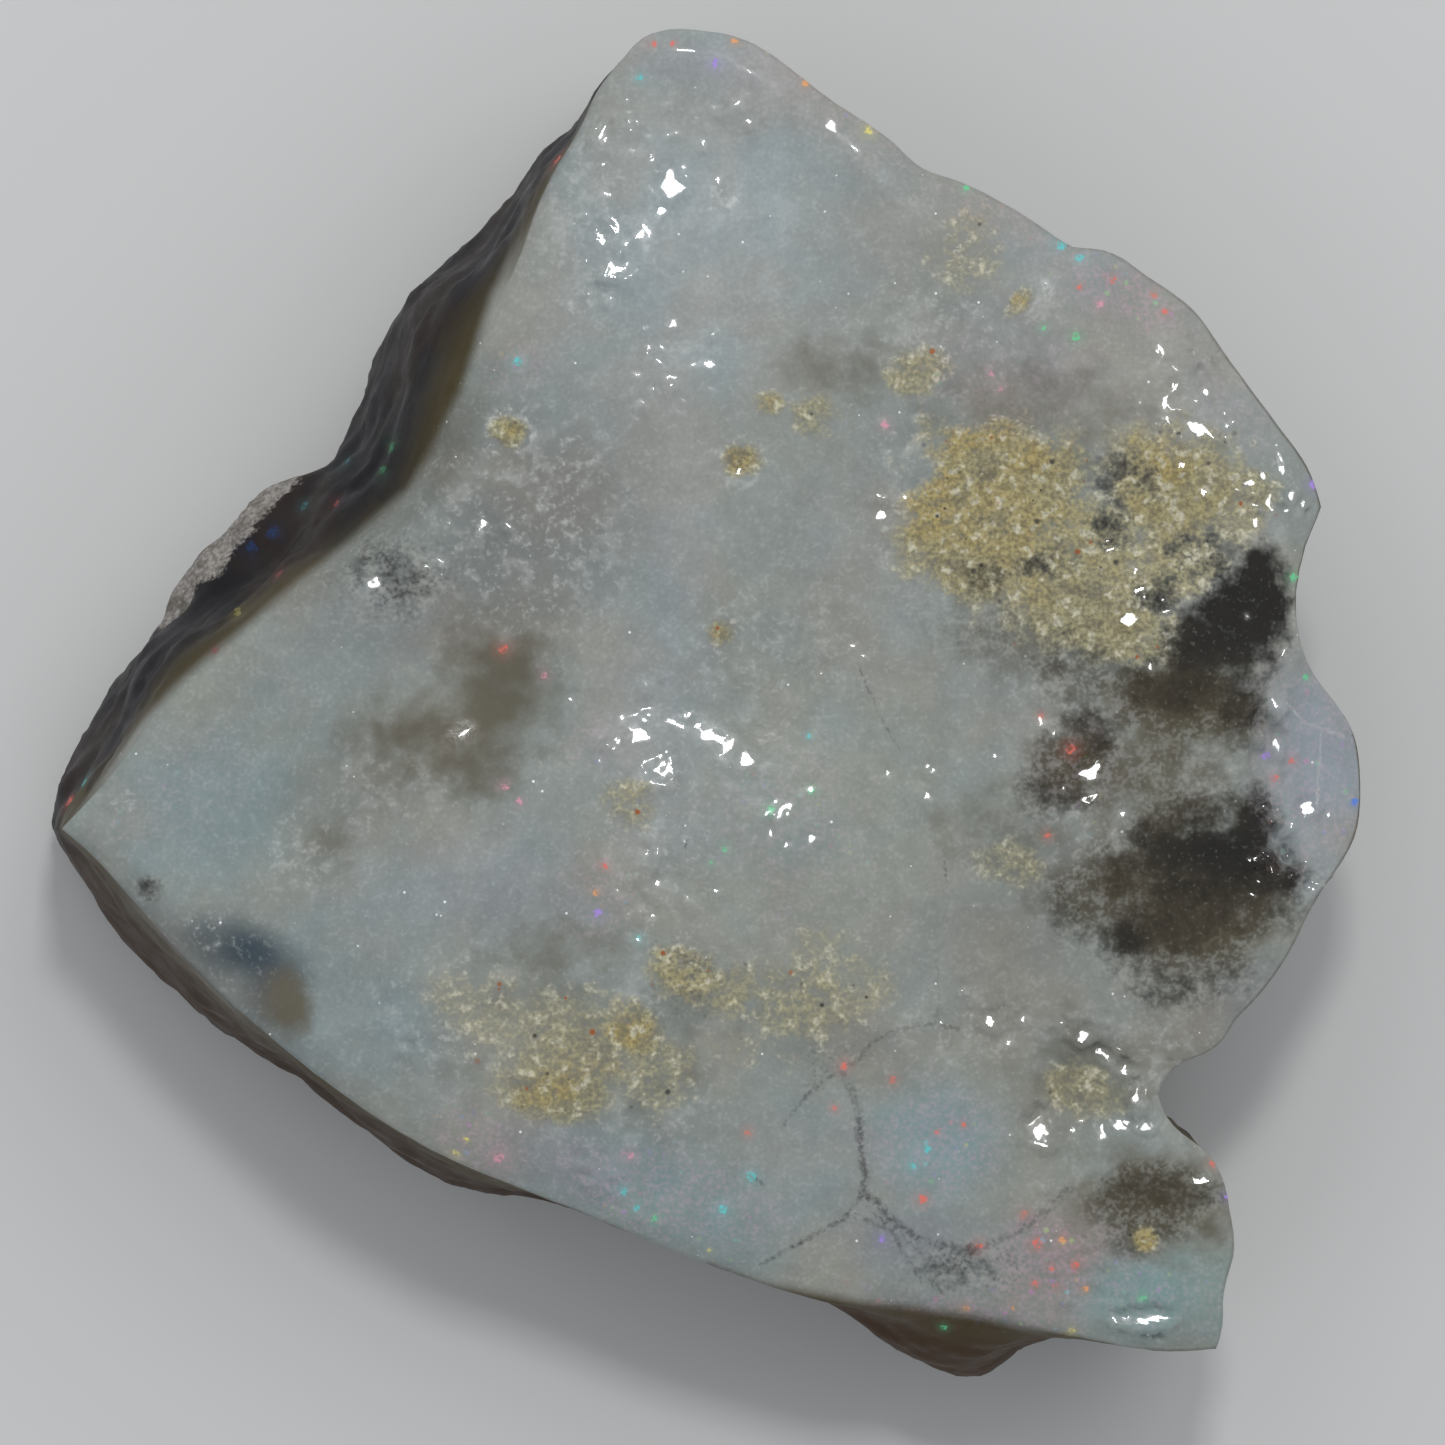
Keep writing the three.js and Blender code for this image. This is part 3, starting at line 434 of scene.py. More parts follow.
facets = [  # flat spots that flash white: x, y, half width, half height, turn in degrees
    (-0.85, 15.8, 0.42, 0.5, 30), (-2.4, 13.25, 0.6, 0.28, 30), (-3, 14.3, 0.2, 0.4, 20),
    (-2.9, 17.3, 0.25, 0.35, 0), (-1.2, -1.75, 0.5, 0.55, 20), (-1.85, -0.6, 0.45, 0.25, -30),
    (10.25, -12.6, 0.45, 0.6, 20), (13.4, -18.3, 0.9, 0.3, -3), (12.9, 2.75, 0.3, 0.4, -20),
    (11.75, -1.85, 0.35, 0.4, 0), (14.85, 8.5, 0.65, 0.25, -28), (17.45, 7.35, 0.22, 0.35, 0),
    (16.5, 6.8, 0.3, 0.2, 0), (17.1, 6.3, 0.2, 0.35, 0), (16.7, 5.65, 0.25, 0.2, 20),
    (17.3, 0.2, 0.22, 0.6, 20), (17.35, -1, 0.2, 0.4, 10), (18.3, -2.95, 0.3, 0.3, 0),
    (5.45, 5.9, 0.25, 0.3, 0), (11.55, -9.75, 0.25, 0.3, 0), (12.15, -10.35, 0.35, 0.2, -40),
    (12.8, -10.8, 0.3, 0.22, -30), (13.15, -11.55, 0.22, 0.4, 0), (12.65, -12.45, 0.4, 0.22, 10),
    (13.4, -12.5, 0.35, 0.22, 0), (8.75, -9.3, 0.25, 0.3, 0), (15, -14.1, 0.4, 0.2, -10),
    (-8.8, -10.1, 0.25, 0.2, 0),
]
welts = [  # raised lines: points, height, half width
    ([(11.24, -9.66), (11.9, -10.3), (12.74, -10.83), (13.16, -11.49), (13.25, -12.33)], 0.05, 0.45),
    ([(16.25, 6.75), (16.76, 6.75), (17.09, 6.33), (17.0, 5.82), (16.49, 5.64)], 0.06, 0.4),
]
# Both are scattered around the knuckles: tiny bumps, and tiny facets
sprinkle = {
    "seed": 11, "each": 4, "spread": 0.75, "radius": (0.12, 0.26), "steepness": 0.17, "vary": (0.6, 1.2),
}
glints = {"seed": 23, "each": 9, "spread": 0.75, "halfSize": (0.1, 0.22), "clearance": 1.2}
pits = [  # x, y, radius, depth
    (17.5, -4.3, 0.75, 0.22), (16.9, -4.9, 0.7, 0.16), (12.2, 5.3, 0.5, 0.12), (13.9, 3.5, 0.55, 0.1),
    (16.4, 3.4, 0.8, 0.12), (6.2, 6.7, 0.5, 0.08), (9.9, 1.1, 0.6, 0.06), (-9.2, 4, 0.9, 0.07),
    (1.2, 7.5, 0.5, 0.06), (13.6, -14.7, 0.9, 0.08),
]
steps = [  # a line of points where the face steps down to the right, the drop, half the step's width
    ([(17.3, 1.86), (17.12, 1.17), (16.52, -0.21), (16.55, -0.84), (16.61, -1.59), (16.61, -2.13),
      (16.82, -2.88), (16.91, -3.42), (17.36, -3.9), (17.51, -4.35), (18.05, -4.95)], 0.22, 0.2),
]
# The dark wall colour begins beyond these lines, in the given direction. x and y say where each one counts.
edgeLines = [
    {
        "x": (-farAway, 0.0), "y": (-3.5, farAway), "beyond": (-1.0, 1.0),
        "line": [
            (-1.78, 20.28), (-3.13, 18.63), (-3.73, 17.13), (-5.08, 14.73), (-6.13, 12.48), (-7.03, 9.63),
            (-7.96, 7.74), (-8.62, 6.57), (-11.65, 4.05), (-14.68, 1.53), (-17.2, -0.81), (-19.03, -3.33),
        ],
    },
    {
        "x": (0.2, 12.6), "y": (-farAway, -15.0), "beyond": (0.0, -1.0),
        "line": [
            (0.2, -16.5), (1.82, -17.13), (5.18, -17.73), (8.54, -18.15), (11.24, -18.75), (12.6, -19.3),
        ],
    },
]
# The knob of sandy matrix on the left wall: its lumps as x, y, z and radius, and the line where it begins
knobSpots = [(-15.4, 4.3, 4.4, 2.3), (-14.5, 5.3, 4.6, 2.3), (-13.4, 6.3, 4.8, 2.1)]
knob = {
    "line": [(-11.4, 8.0), (-12.31, 7.08), (-13.33, 5.91), (-14.83, 4.05), (-15.52, 3.39), (-16.4, 2.4)],
    "beyond": (-1.0, 1.0),
    "border": (1.1, 0.8),
    "ragged": (0.9, 0.25, 51.0),
    "lineBorder": (-0.3, 0.3),
    "lineRagged": (0.8, 0.3, 53.0),
}

print("frame loaded:", sorted(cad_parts))

# The stone's mesh


def applyModifiers(piece):
    bpy.context.view_layer.update()
    depsgraph = bpy.context.evaluated_depsgraph_get()
    mesh = bpy.data.meshes.new_from_object(piece.evaluated_get(depsgraph))
    piece.modifiers.clear()
    piece.data = mesh


def nearKnob(place):
    return any(math.dist((x, y, z), place) < stone["knobReach"] * radius for x, y, z, radius in knobSpots)


# The CAD solid as one skin of squares, with its sharp edges marked, then rounded once
def makeStone():
    piece = bpy.data.objects.new("opalStone", bpy.data.meshes.new("opalStone"))
    bpy.context.scene.collection.objects.link(piece)
    shape = bmesh.new()
    shape.from_mesh(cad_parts[stone["cadNode"]].data)
    bmesh.ops.remove_doubles(shape, verts=shape.verts, dist=stone["mergeDistance"])
    bmesh.ops.join_triangles(
        shape, faces=shape.faces, angle_face_threshold=math.pi, angle_shape_threshold=math.pi
    )
    crease = shape.edges.layers.float.new("crease_edge")
    ridge = []
    for edge in shape.edges:
        if edge.calc_face_angle(0.0) > stone["sharpTurn"] and not nearKnob(edge.verts[0].co / mm):
            edge[crease] = stone["sharpCrease"]
            if min(vert.co.z for vert in edge.verts) > stone["faceFloor"] * mm:
                ridge += [vert.co / mm for vert in edge.verts]
    shape.to_mesh(piece.data)
    shape.free()
    rounding = piece.modifiers.new("rounding", "SUBSURF")
    rounding.levels = rounding.render_levels = 1
    applyModifiers(piece)
    return piece, ridge


# Cuts edges and the faces between them, and returns the new corners
def cutEdges(shape, chosen, cuts):
    edges = [edge for edge in shape.edges if edge in chosen]
    result = bmesh.ops.subdivide_edges(shape, edges=edges, cuts=cuts, use_grid_fill=True)
    return {item for item in result["geom"] if isinstance(item, bmesh.types.BMVert)}


def evenOut(shape, verts, rounds):
    for _ in range(rounds):
        bmesh.ops.smooth_vert(
            shape, verts=verts, factor=stone["evening"], use_axis_x=True, use_axis_y=True, use_axis_z=True
        )


# Finer squares on the face than on the walls, and none added below
def refineStone(shape):
    def onFace(face):
        return face.normal.z > stone["faceUp"] and face.calc_center_median().z > stone["faceFloor"] * mm

    face = {item for item in shape.faces if onFace(item)}
    rim = {neighbour for item in face for edge in item.edges for neighbour in edge.link_faces}
    fine = {edge for item in face | rim for edge in item.edges}
    walls = {edge for item in shape.faces if item.normal.z > stone["wallUp"] for edge in item.edges} - fine
    rounded = {vert for edge in fine for vert in edge.verts}
    rounded |= cutEdges(shape, fine, stone["faceCuts"])
    rounded |= cutEdges(shape, walls, stone["wallCuts"])
    bmesh.ops.triangulate(shape, faces=[item for item in shape.faces if len(item.verts) > 4])
    evenOut(shape, [vert for vert in shape.verts if nearKnob(vert.co / mm)], stone["knobRounds"])
    evenOut(shape, [vert for vert in shape.verts if vert in rounded], stone["smoothRounds"])


# How far out in a turned oval a place lies: 0 in its middle, 1 on its border
def ovalDistance(place, x, y, wide, high, turn):
    dx = place.x - x
    dy = place.y - y
    angle = math.radians(turn)
    along = dx * math.cos(angle) + dy * math.sin(angle)
    across = dy * math.cos(angle) - dx * math.sin(angle)
    return math.hypot(along / wide, across / high)


# How strongly the patches of one kind cover a place, with ragged borders
def covered(spots, place, ragged=0.0, border=(1.35, 0.55)):
    most = 0.0
    for x, y, wide, high, turn, strength in spots:
        reach = 2.0 * max(wide, high)
        if abs(place.x - x) <= reach and abs(place.y - y) <= reach:
            distance = ovalDistance(place, x, y, wide, high, turn) + ragged
            most = max(most, strength * softStep(*border, distance))
    return most


# The nearest point of a line of points, seen from above: distance and the way from there
def nearestOnLine(line, place):
    best = (farAway, Vector((farAway, farAway)))
    for start, end in zip(line, line[1:]):
        ax, ay = start
        bx, by = end
        length = (bx - ax) ** 2 + (by - ay) ** 2
        share = min(1.0, max(0.0, ((place.x - ax) * (bx - ax) + (place.y - ay) * (by - ay)) / length))
        away = Vector((place.x - lean(ax, bx, share), place.y - lean(ay, by, share)))
        if away.length < best[0]:
            best = (away.length, away)
    return best


# How far a place lies beyond a line in the given direction, negative on its near side
def beyond(line, place, direction):
    distance, away = nearestOnLine(line, place)
    return distance if away.x * direction[0] + away.y * direction[1] > 0.0 else -distance


# The nearest dark line: the way from it with half its width as third number, and how dark it is
def veinAt(place):
    nearest = veinReach
    found = (0.0, 0.0, 0.0), 0.0
    for line, halfWidth, dark in veins:
        near = all(
            min(point[axis] for point in line) - veinReach < place[axis]
            < max(point[axis] for point in line) + veinReach for axis in (0, 1)
        )
        distance, away = nearestOnLine(line, place) if near else (veinReach, None)
        if distance < nearest:
            nearest = distance
            found = (away.x, away.y, halfWidth), dark * softStep(veinReach, veinFade * veinReach, distance)
    return found


# How much of a facet a place lies on, and the facet's rise: it mirrors the small lamp into the camera
def facetRise(place, normal):
    best = 0.0
    rise = 0.0
    for _, index, _ in facetTree.find_range(place, facetReach):
        x, y = facets[index][:2]
        distance = ovalDistance(place, *facets[index]) + lumps(place, *faceShape["facetBorder"])
        share = softStep(*faceShape["facetEdge"], distance)
        if share <= best:
            continue
        best = share
        here = Vector((x, y, faceShape["facetHeight"])) * mm
        toLamp = (Vector(lamps["spark"][0]) - here).normalized()
        toCamera = (Vector(cameraSetup["above"]) - here).normalized()
        mirror = toLamp + toCamera
        dx = place.x - x
        dy = place.y - y
        fromMiddle = Vector((dx, dy, -(normal.x * dx + normal.y * dy) / normal.z))
        rise = -fromMiddle.dot(mirror) / normal.dot(mirror)
        rise = max(-faceShape["highestFacet"], min(faceShape["highestFacet"], rise))
    return best, rise


# How far the face, the walls and the underside stand out of the smooth stone, in millimetres
def faceRise(place, sand, edge, normal):
    smooth = softStep(*faceShape["calmBorder"], covered(smoothPlaces, place))
    calm = 1.0 - faceShape["calm"] * smooth
    rough = max(covered(roughPlaces, place), faceShape["edgeRoughness"] * edge)
    layers = {"swell": calm, "pebbles": calm, "grit": calm, "roughPebbles": rough, "sandGrit": sand}
    rise = sum(share * lumps(place, *faceShape[name]) for name, share in layers.items())
    for _, index, _ in knuckleTree.find_range(place, knuckleReach):
        x, y, radius, height = knuckles[index]
        distance = math.hypot(place.x - x, place.y - y) / radius
        if distance < faceShape["knuckleReach"]:
            distance += lumps(place, *faceShape["knuckleBorder"])
            rise += height * max(0.0, 1.0 - distance * distance) ** 2
    for line, height, halfWidth in welts:
        distance = nearestOnLine(line, place)[0] / halfWidth
        rise += height * max(0.0, 1.0 - distance * distance) ** 2
    for x, y, radius, depth in pits:
        distance = math.hypot(place.x - x, place.y - y) / radius
        rise -= depth * softStep(1.0, faceShape["pitBottom"], distance)
    for line, drop, width in steps:
        distance, away = nearestOnLine(line, place)
        rise -= drop * softStep(-width, width, away.x) * softStep(*faceShape["stepEnds"], distance / width)
    onFacet, tilt = facetRise(place, normal)
    return lean(rise, tilt, onFacet * softStep(*faceShape["facetsEnd"], edge))


def wallRise(place, below, onKnob):
    flattened = Vector((place.x, place.y, place.z * wallShape["flattening"]))
    rise = lumps(flattened, *wallShape["lumps"]) + lumps(place, *wallShape["grit"])
    level = below / wallShape["ledgeSpacing"] + lumps(place, *wallShape["ledgeWander"])
    shelf = level - math.floor(level)
    ledge = (shelf - 0.5) * softStep(*wallShape["ledgeDrop"], shelf)
    rise += wallShape["ledgeHeight"] * ledge * (1.0 - onKnob)
    rise += onKnob * lumps(place, *wallShape["knobGrit"])
    return rise * softStep(*wallShape["start"], below)


def undersideRise(place):
    rise = lumps(place, *undersideShape["lumps"]) + lumps(place, *undersideShape["grit"])
    return rise * softStep(*undersideShape["start"], place.z)


# A tree that finds the nearest of a list of places
def makeTree(places):
    tree = kdtree.KDTree(len(places))
    for index, place in enumerate(places):
        tree.insert(place, index)
    tree.balance()
    return tree


clear = glints["clearance"]
largeFacets = [(x, y, clear * wide, clear * high, turn, 1.0) for x, y, wide, high, turn in facets]
bumpChance = random.Random(sprinkle["seed"])
glintChance = random.Random(glints["seed"])
for x, y, _, _ in list(knuckles):
    for _ in range(sprinkle["each"]):
        small = bumpChance.uniform(*sprinkle["radius"])
        aside = [bumpChance.gauss(0.0, sprinkle["spread"]) for _ in range(2)]
        steepness = sprinkle["steepness"] * bumpChance.uniform(*sprinkle["vary"])
        knuckles.append((x + aside[0], y + aside[1], small, small * steepness))
    for _ in range(glints["each"]):
        spot = Vector((*(middle + glintChance.gauss(0.0, glints["spread"]) for middle in (x, y)), 0.0))
        wide, high = (glintChance.uniform(*glints["halfSize"]) for _ in range(2))
        turn = glintChance.uniform(0.0, 180.0)
        if covered(largeFacets, spot) == 0.0:
            facets.append((spot.x, spot.y, wide, high, turn))
knuckleTree = makeTree([(x, y, 0.0) for x, y, _, _ in knuckles])
knuckleReach = faceShape["knuckleReach"] * max(radius for _, _, radius, _ in knuckles)
facetTree = makeTree([(x, y, 0.0) for x, y, _, _, _ in facets])
facetReach = faceShape["facetReach"] * max(max(wide, high) for _, _, wide, high, _ in facets)


# How far a place lies past the drawn edge of the face, and -1 where the edge isn't drawn
def pastEdge(place):
    for edge in edgeLines:
        if edge["x"][0] < place.x < edge["x"][1] and edge["y"][0] < place.y < edge["y"][1]:
            return beyond(edge["line"], place, edge["beyond"])
    return -1.0


def knobShare(place):
    ragged = lumps(place, *knob["ragged"])
    nearest = min(math.dist((x, y, z), place) / radius for x, y, z, radius in knobSpots)
    past = beyond(knob["line"], place, knob["beyond"]) + lumps(place, *knob["lineRagged"])
    return softStep(*knob["border"], nearest + ragged) * softStep(*knob["lineBorder"], past)


def discAt(place):
    most = 0.0
    for x, y, ring, halfWidth, strength in discs:
        fromRing = abs(math.hypot(place.x - x, place.y - y) + lumps(place, *discRagged) - ring)
        most = max(most, 2.0 * strength * softStep(halfWidth, 0.4 * halfWidth, fromRing))
    return most


# How strongly each kind of patch covers a place
def patchCover(place):
    cover = {}
    for index, (name, spots) in enumerate(patches.items()):
        layer = index * zones["layerGap"]
        ragged = lumps(place, *zones["wideRagged"], layer)
        ragged += lumps(place, *zones["fineRagged"], layer + zones["fineLayer"])
        cover[name] = covered(spots, place, ragged, borders[name])
    cover["clumps"] = max(cover["clumps"], discAt(place))
    return cover


def bodyAt(place):
    colour = Vector(body["colour"])
    ragged = sum(lumps(place, *border) for border in body["ragged"])
    for *spot, target in body["leans"]:
        colour = colour.lerp(Vector(target), covered([spot], place, ragged, borders["body"]))
    return colour


# How rusty the walls are: in clouds, along the front and low on the left
def rustAt(place, under):
    clouds = softStep(*rust["border"], lumps(place, *rust["clouds"]) + lumps(place, *rust["fringe"]))
    front = softStep(*rust["frontY"], place.y)
    left = softStep(*rust["leftY"], place.y) * softStep(*rust["leftX"], place.x)
    share = rust["least"] + rust["underside"] * under
    return max(share * clouds, rust["frontShare"] * front, rust["leftShare"] * left)


# A tree of the flecks, each at the height where it is seen from above
def makeFleckTree(shape):
    surface = BVHTree.FromBMesh(shape)
    places = []
    for x, y, _, _ in fleckSpots:
        above = Vector((x, y, overStone)) * mm
        hit = surface.ray_cast(above, Vector((0.0, 0.0, -1.0)))[0] or surface.find_nearest(above)[0]
        places.append((x, y, hit.z / mm))
    return makeTree(places)


# How far each corner of the mesh looks down, evened out over its neighbours
def downShares(shape):
    shares = {vert: softStep(*zones["undersideUp"], vert.normal.z) for vert in shape.verts}
    for _ in range(undersideShape["evenRounds"]):
        evened = {}
        for vert, share in shares.items():
            near = [shares[edge.other_vert(vert)] for edge in vert.link_edges]
            evened[vert] = (share + sum(near)) / (1 + len(near))
        shares = evened
    return shares


# Gives the stone its relief, and paints on it where each finish lies
def finishStone(piece, ridge):
    shape = bmesh.new()
    shape.from_mesh(piece.data)
    refineStone(shape)
    shape.normal_update()
    ridgeTree = makeTree(ridge)
    fleckTree = makeFleckTree(shape)

    layers = shape.verts.layers
    shares = (*patches, "wall", "underside", "below", "knob", "vein", "fleck", "rusty")
    paint = {name: layers.float.new(name) for name in shares}
    paint |= {name: layers.float_color.new(name) for name in ("bodyColour", "fleckColour")}
    paint |= {name: layers.float_vector.new(name) for name in ("veinAway", "fleckAway")}

    looksDown = downShares(shape)
    moves = []
    for vert in shape.verts:
        place = vert.co / mm
        flat = Vector((place.x, place.y, 0.0))
        up = vert.normal.z

        ridgeSpot, _, ridgeDistance = ridgeTree.find(place)
        past = pastEdge(place)
        below = max(0.0, ridgeSpot.z - place.z, past)
        upper = softStep(*zones["faceUp"], up) * softStep(*zones["faceHeight"], place.z)
        face = upper * softStep(*zones["pastEdge"], past)
        under = looksDown[vert] * softStep(*zones["undersideHeight"], place.z)
        wall = max(0.0, 1.0 - face - under)
        onKnob = wall * knobShare(place)
        painted = {"wall": wall, "underside": under, "below": below, "knob": onKnob}
        painted["rusty"] = rustAt(place, under)
        painted["bodyColour"] = (*bodyAt(flat), 1.0)

        (spot, index, distance), (_, _, nextDistance) = fleckTree.find_n(place, 2)
        _, _, radius, name = fleckSpots[index]
        painted["fleck"] = softStep(*zones["alone"], nextDistance - distance)
        painted["fleckAway"] = (place - spot) / radius * fleckStretch
        painted["fleckColour"] = (*fleckColours[name], 1.0)
        if up > zones["patchesUp"]:
            painted |= patchCover(flat)
            painted["veinAway"], dark = veinAt(flat)
            painted["vein"] = dark * face
        for name, value in painted.items():
            vert[paint[name]] = value

        rise = 0.0
        if upper > 0.0:
            rough = softStep(*zones["roughEdge"], ridgeDistance)
            rise += upper * faceRise(flat, painted["sand"], rough, vert.normal)
        if wall > 0.0:
            rise += min(wall, 1.0 - upper) * wallRise(place, below, onKnob)
        if under > 0.0:
            rise += under * undersideRise(place)
        moves.append(vert.normal * rise * mm)
    for vert, move in zip(shape.verts, moves):
        vert.co += move
        vert.co.z = max(0.0, vert.co.z)
    shape.to_mesh(piece.data)
    shape.free()
    piece.data.shade_smooth()
    print("stone refined:", len(piece.data.polygons), "faces")


# A number, vector or colour in a node tree. Sums and products of values make the nodes for them.
class Value:
    def __init__(self, net, socket):
        self.net = net
        self.socket = socket

    def __add__(self, other):
        return self.net.calc("ADD", self, other)

    def __sub__(self, other):
        return self.net.calc("SUBTRACT", self, other)

    def __rsub__(self, other):
        return self.net.calc("SUBTRACT", other, self)

    def __mul__(self, other):
        return self.net.calc("MULTIPLY", self, other)

    # Another output of the same node
    def other(self, output):
        return Value(self.net, self.socket.node.outputs[output])


# The nodes of one tree. Each helper returns the value that its node gives.
class Net:
    def __init__(self, tree):
        self.tree = tree

    def feed(self, socket, value):
        if isinstance(value, Value):
            self.tree.links.new(value.socket, socket)
        elif socket.type == "RGBA":
            socket.default_value = (*value, 1.0)
        else:
            socket.default_value = value

    def add(self, kind, inputs, output=0, **settings):
        node = self.tree.nodes.new("ShaderNode" + kind)
        for name, setting in settings.items():
            setattr(node, name, setting)
        for key, value in inputs.items():
            self.feed(node.inputs[key], value)
        return Value(self, node.outputs[output]) if node.outputs else None

    def calc(self, operation, *values, **settings):
        return self.add("Math", dict(enumerate(values)), operation=operation, **settings)

    def calcVector(self, operation, inputs, output="Vector"):
        return self.add("VectorMath", inputs, output, operation=operation)

    def mix(self, share, first, second, way="MIX"):
        return self.add("Mix", {0: share, 6: first, 7: second}, 2, data_type="RGBA", blend_type=way)

    def mixNumbers(self, share, first, second):
        return self.add("Mix", {0: share, 2: first, 3: second})

    # Goes softly from bottom to top while the value goes from low to high
    def ramp(self, value, low, high, bottom=0.0, top=1.0):
        inputs = dict(enumerate((value, low, high, bottom, top)))
        return self.add("MapRange", inputs, interpolation_type="SMOOTHSTEP")

    def noiseAt(self, place, size, detail, roughness, output="Fac"):
        inputs = {"Vector": place, "Scale": 1.0 / size, "Detail": detail, "Roughness": roughness}
        return self.add("TexNoise", inputs, output)

    def painted(self, name, output="Fac"):
        return self.add("Attribute", {}, output, attribute_name=name)

    def hue(self, *values):
        return self.add("CombineColor", dict(enumerate(values)), mode="HSV")

    # The colour, made darker or lighter as the value goes from low to high
    def shaded(self, colour, value, low, high, least, most):
        share = self.ramp(value, low, high, least, most)
        return self.mix(1.0, colour, self.add("CombineColor", {0: share, 1: share, 2: share}), "MULTIPLY")

    def use(self, group, **values):
        return self.add("Group", values, node_tree=group)


scalar = "NodeSocketFloat"
vector = "NodeSocketVector"
tone = "NodeSocketColor"


# A node group with inputs (name, kind, value) and outputs (name, kind): its nodes, its given values and the
# sockets for its results
def newGroup(name, inputs, outputs):
    tree = bpy.data.node_groups.new(name, "ShaderNodeTree")
    for label, kind, value in inputs:
        tree.interface.new_socket(label, in_out="INPUT", socket_type=kind).default_value = value
    for label, kind in outputs:
        tree.interface.new_socket(label, in_out="OUTPUT", socket_type=kind)
    net = Net(tree)
    given = tree.nodes.new("NodeGroupInput").outputs
    return net, [Value(net, given[label]) for label, _, _ in inputs], tree.nodes.new("NodeGroupOutput").inputs


# Small round dots, in a share of the cells of a fine net
def makeDots():
    net, (place, fineness, share, reach), result = newGroup(
        "dots",
        [
            ("Place", vector, (0, 0, 0)), ("Fineness", scalar, 4.0),
            ("Share", scalar, 0.3), ("Reach", scalar, 0.3),
        ],
        [("Mask", scalar), ("Core", scalar), ("Chance", scalar)],
    )
    distance = net.add("TexVoronoi", {"Vector": place, "Scale": fineness}, "Distance", feature="F1")
    chance = net.add("SeparateColor", {0: distance.other("Color")})
    taken = net.calc("LESS_THAN", chance, share)
    size = reach * (chance.other(1) + 0.5)
    net.feed(result["Mask"], net.ramp(distance, size, size * 0.35) * taken)
    net.feed(result["Core"], net.ramp(distance, size * 0.45, size * 0.2) * taken)
    net.feed(result["Chance"], chance.other(2))
    return net.tree


# A dry crust of two tones, darker where the clouds are low
def makeMottle():
    net, (clouds, specks, pale, shade), result = newGroup(
        "mottle",
        [
            ("Clouds", scalar, 0.5), ("Specks", scalar, 0.5),
            ("Pale", tone, (1, 1, 1, 1)), ("Shade", tone, (0, 0, 0, 1)),
        ],
        [("Colour", tone)],
    )
    colour = net.mix(net.ramp(clouds, 0.62, 0.36), pale, shade)
    net.feed(result["Colour"], net.shaded(colour, specks, 0.3, 0.7, 0.72, 1.25))
    return net.tree


opalLook = {
    "clouds": (0.95, 3.0, 0.6),  # noises: size in millimetres, detail, roughness
    "granules": (0.36, 2.0, 0.55),
    "specks": (0.13, 1.0, 0.5),
    "drift": (3.2, 2.0, 0.5),
    "fray": (0.17, 1.0, 0.5),
    "frayReach": 0.2,
    "fleckFray": 9.0,
    "streaks": (2.4, 4.0, 0.62),
    "streakScale": (0.55, 0.55, 2.6),
    "grainSize": 0.3,
    "grainReach": 0.3,
    "speckAndGlintFrom": 0.94,  # the dots of every kind are told apart by their chance, from 0 to 1
    "tanDots": (0.75, 0.18),
    "rustDots": 0.035,
    "blackDots": (0.5, 0.035),
    "fireDots": 0.22,
    "roughness": 0.2,
    "sandRoughness": 0.3,
    "wallRoughness": 0.5,
    "dryRoughness": 0.72,
    "dryCoat": 0.92,  # the shares of the wet coat that dry places and the walls lose
    "wallCoat": 0.94,
    "warmTint": (1.05, 1.0, 0.96),
    "coolTint": (0.96, 1.0, 1.02),
    "smokeColour": (0.009, 0.007, 0.0045),
    "smokeBrown": (0.070, 0.056, 0.032),
    "smokeCover": 0.98,
    "fluff": (0.33, 0.335, 0.30),
    "fluffCover": 0.6,
    "paleDust": 0.16,
    "brownColour": (0.118, 0.105, 0.072),
    "chalk": (0.52, 0.53, 0.51),
    "chalkCover": 0.42,
    # tiny white dots: white specks in the opal and painted glints of the wet face
    "speckAndGlint": (0.85, 0.86, 0.86),
    "sandPale": (0.325, 0.295, 0.168),
    "sandYellow": (0.37, 0.295, 0.115),
    "sandTan": (0.22, 0.14, 0.045),
    "sandShade": (0.16, 0.13, 0.068),
    "sandGrain": (0.57, 0.54, 0.41),
    "sandCover": 0.93,
    "tanCover": 0.6,
    "rust": (0.33, 0.10, 0.03),
    "blackGrain": (0.03, 0.027, 0.024),
    "blackCover": 0.85,
    "dustCover": 0.55,
    "veinColour": (0.062, 0.058, 0.058),
    "fleckCover": 0.8,
    "haloCover": 0.12,
    "haloReach": 4.0,  # a fleck's soft glow, as a multiple of its radius
    "fireDust": 0.24,
    "fireCover": 0.5,
    "wallFire": 0.85,  # the share of both that the walls lose
    # the walls' near-black tones: their smoky opal, darkened further by painted shade
    "wallGreyAndShade": (0.013, 0.012, 0.014),
    "wallStreakInShade": (0.032, 0.031, 0.037),
    "wallOlive": (0.060, 0.044, 0.012),
    "oliveCover": 0.9,
    "wallRust": (0.060, 0.030, 0.011),
    "knobColour": (0.33, 0.31, 0.285),
    "knobShade": (0.21, 0.19, 0.17),
    "knobDarkSpot": (0.1, 0.088, 0.075),
    "crust": (0.21, 0.165, 0.11),
    "crustDark": (0.075, 0.06, 0.045),
}
# Sockets of the shader that are the same all over. Lengths are metres.
opalShader = {
    # the flecks glow faintly in their own colour: painted light
    "Emission Strength": 0.08,
    "Coat Roughness": 0.04,
    "Coat IOR": 1.33,
    "Specular IOR Level": 0.15,
    "IOR": 1.45,
    "Subsurface Weight": 0.12,
    "Subsurface Radius": (1.0, 0.9, 0.75),
    "Subsurface Scale": 0.0006,
}
opalBump = {"Strength": 0.7, "Distance": 0.0001}


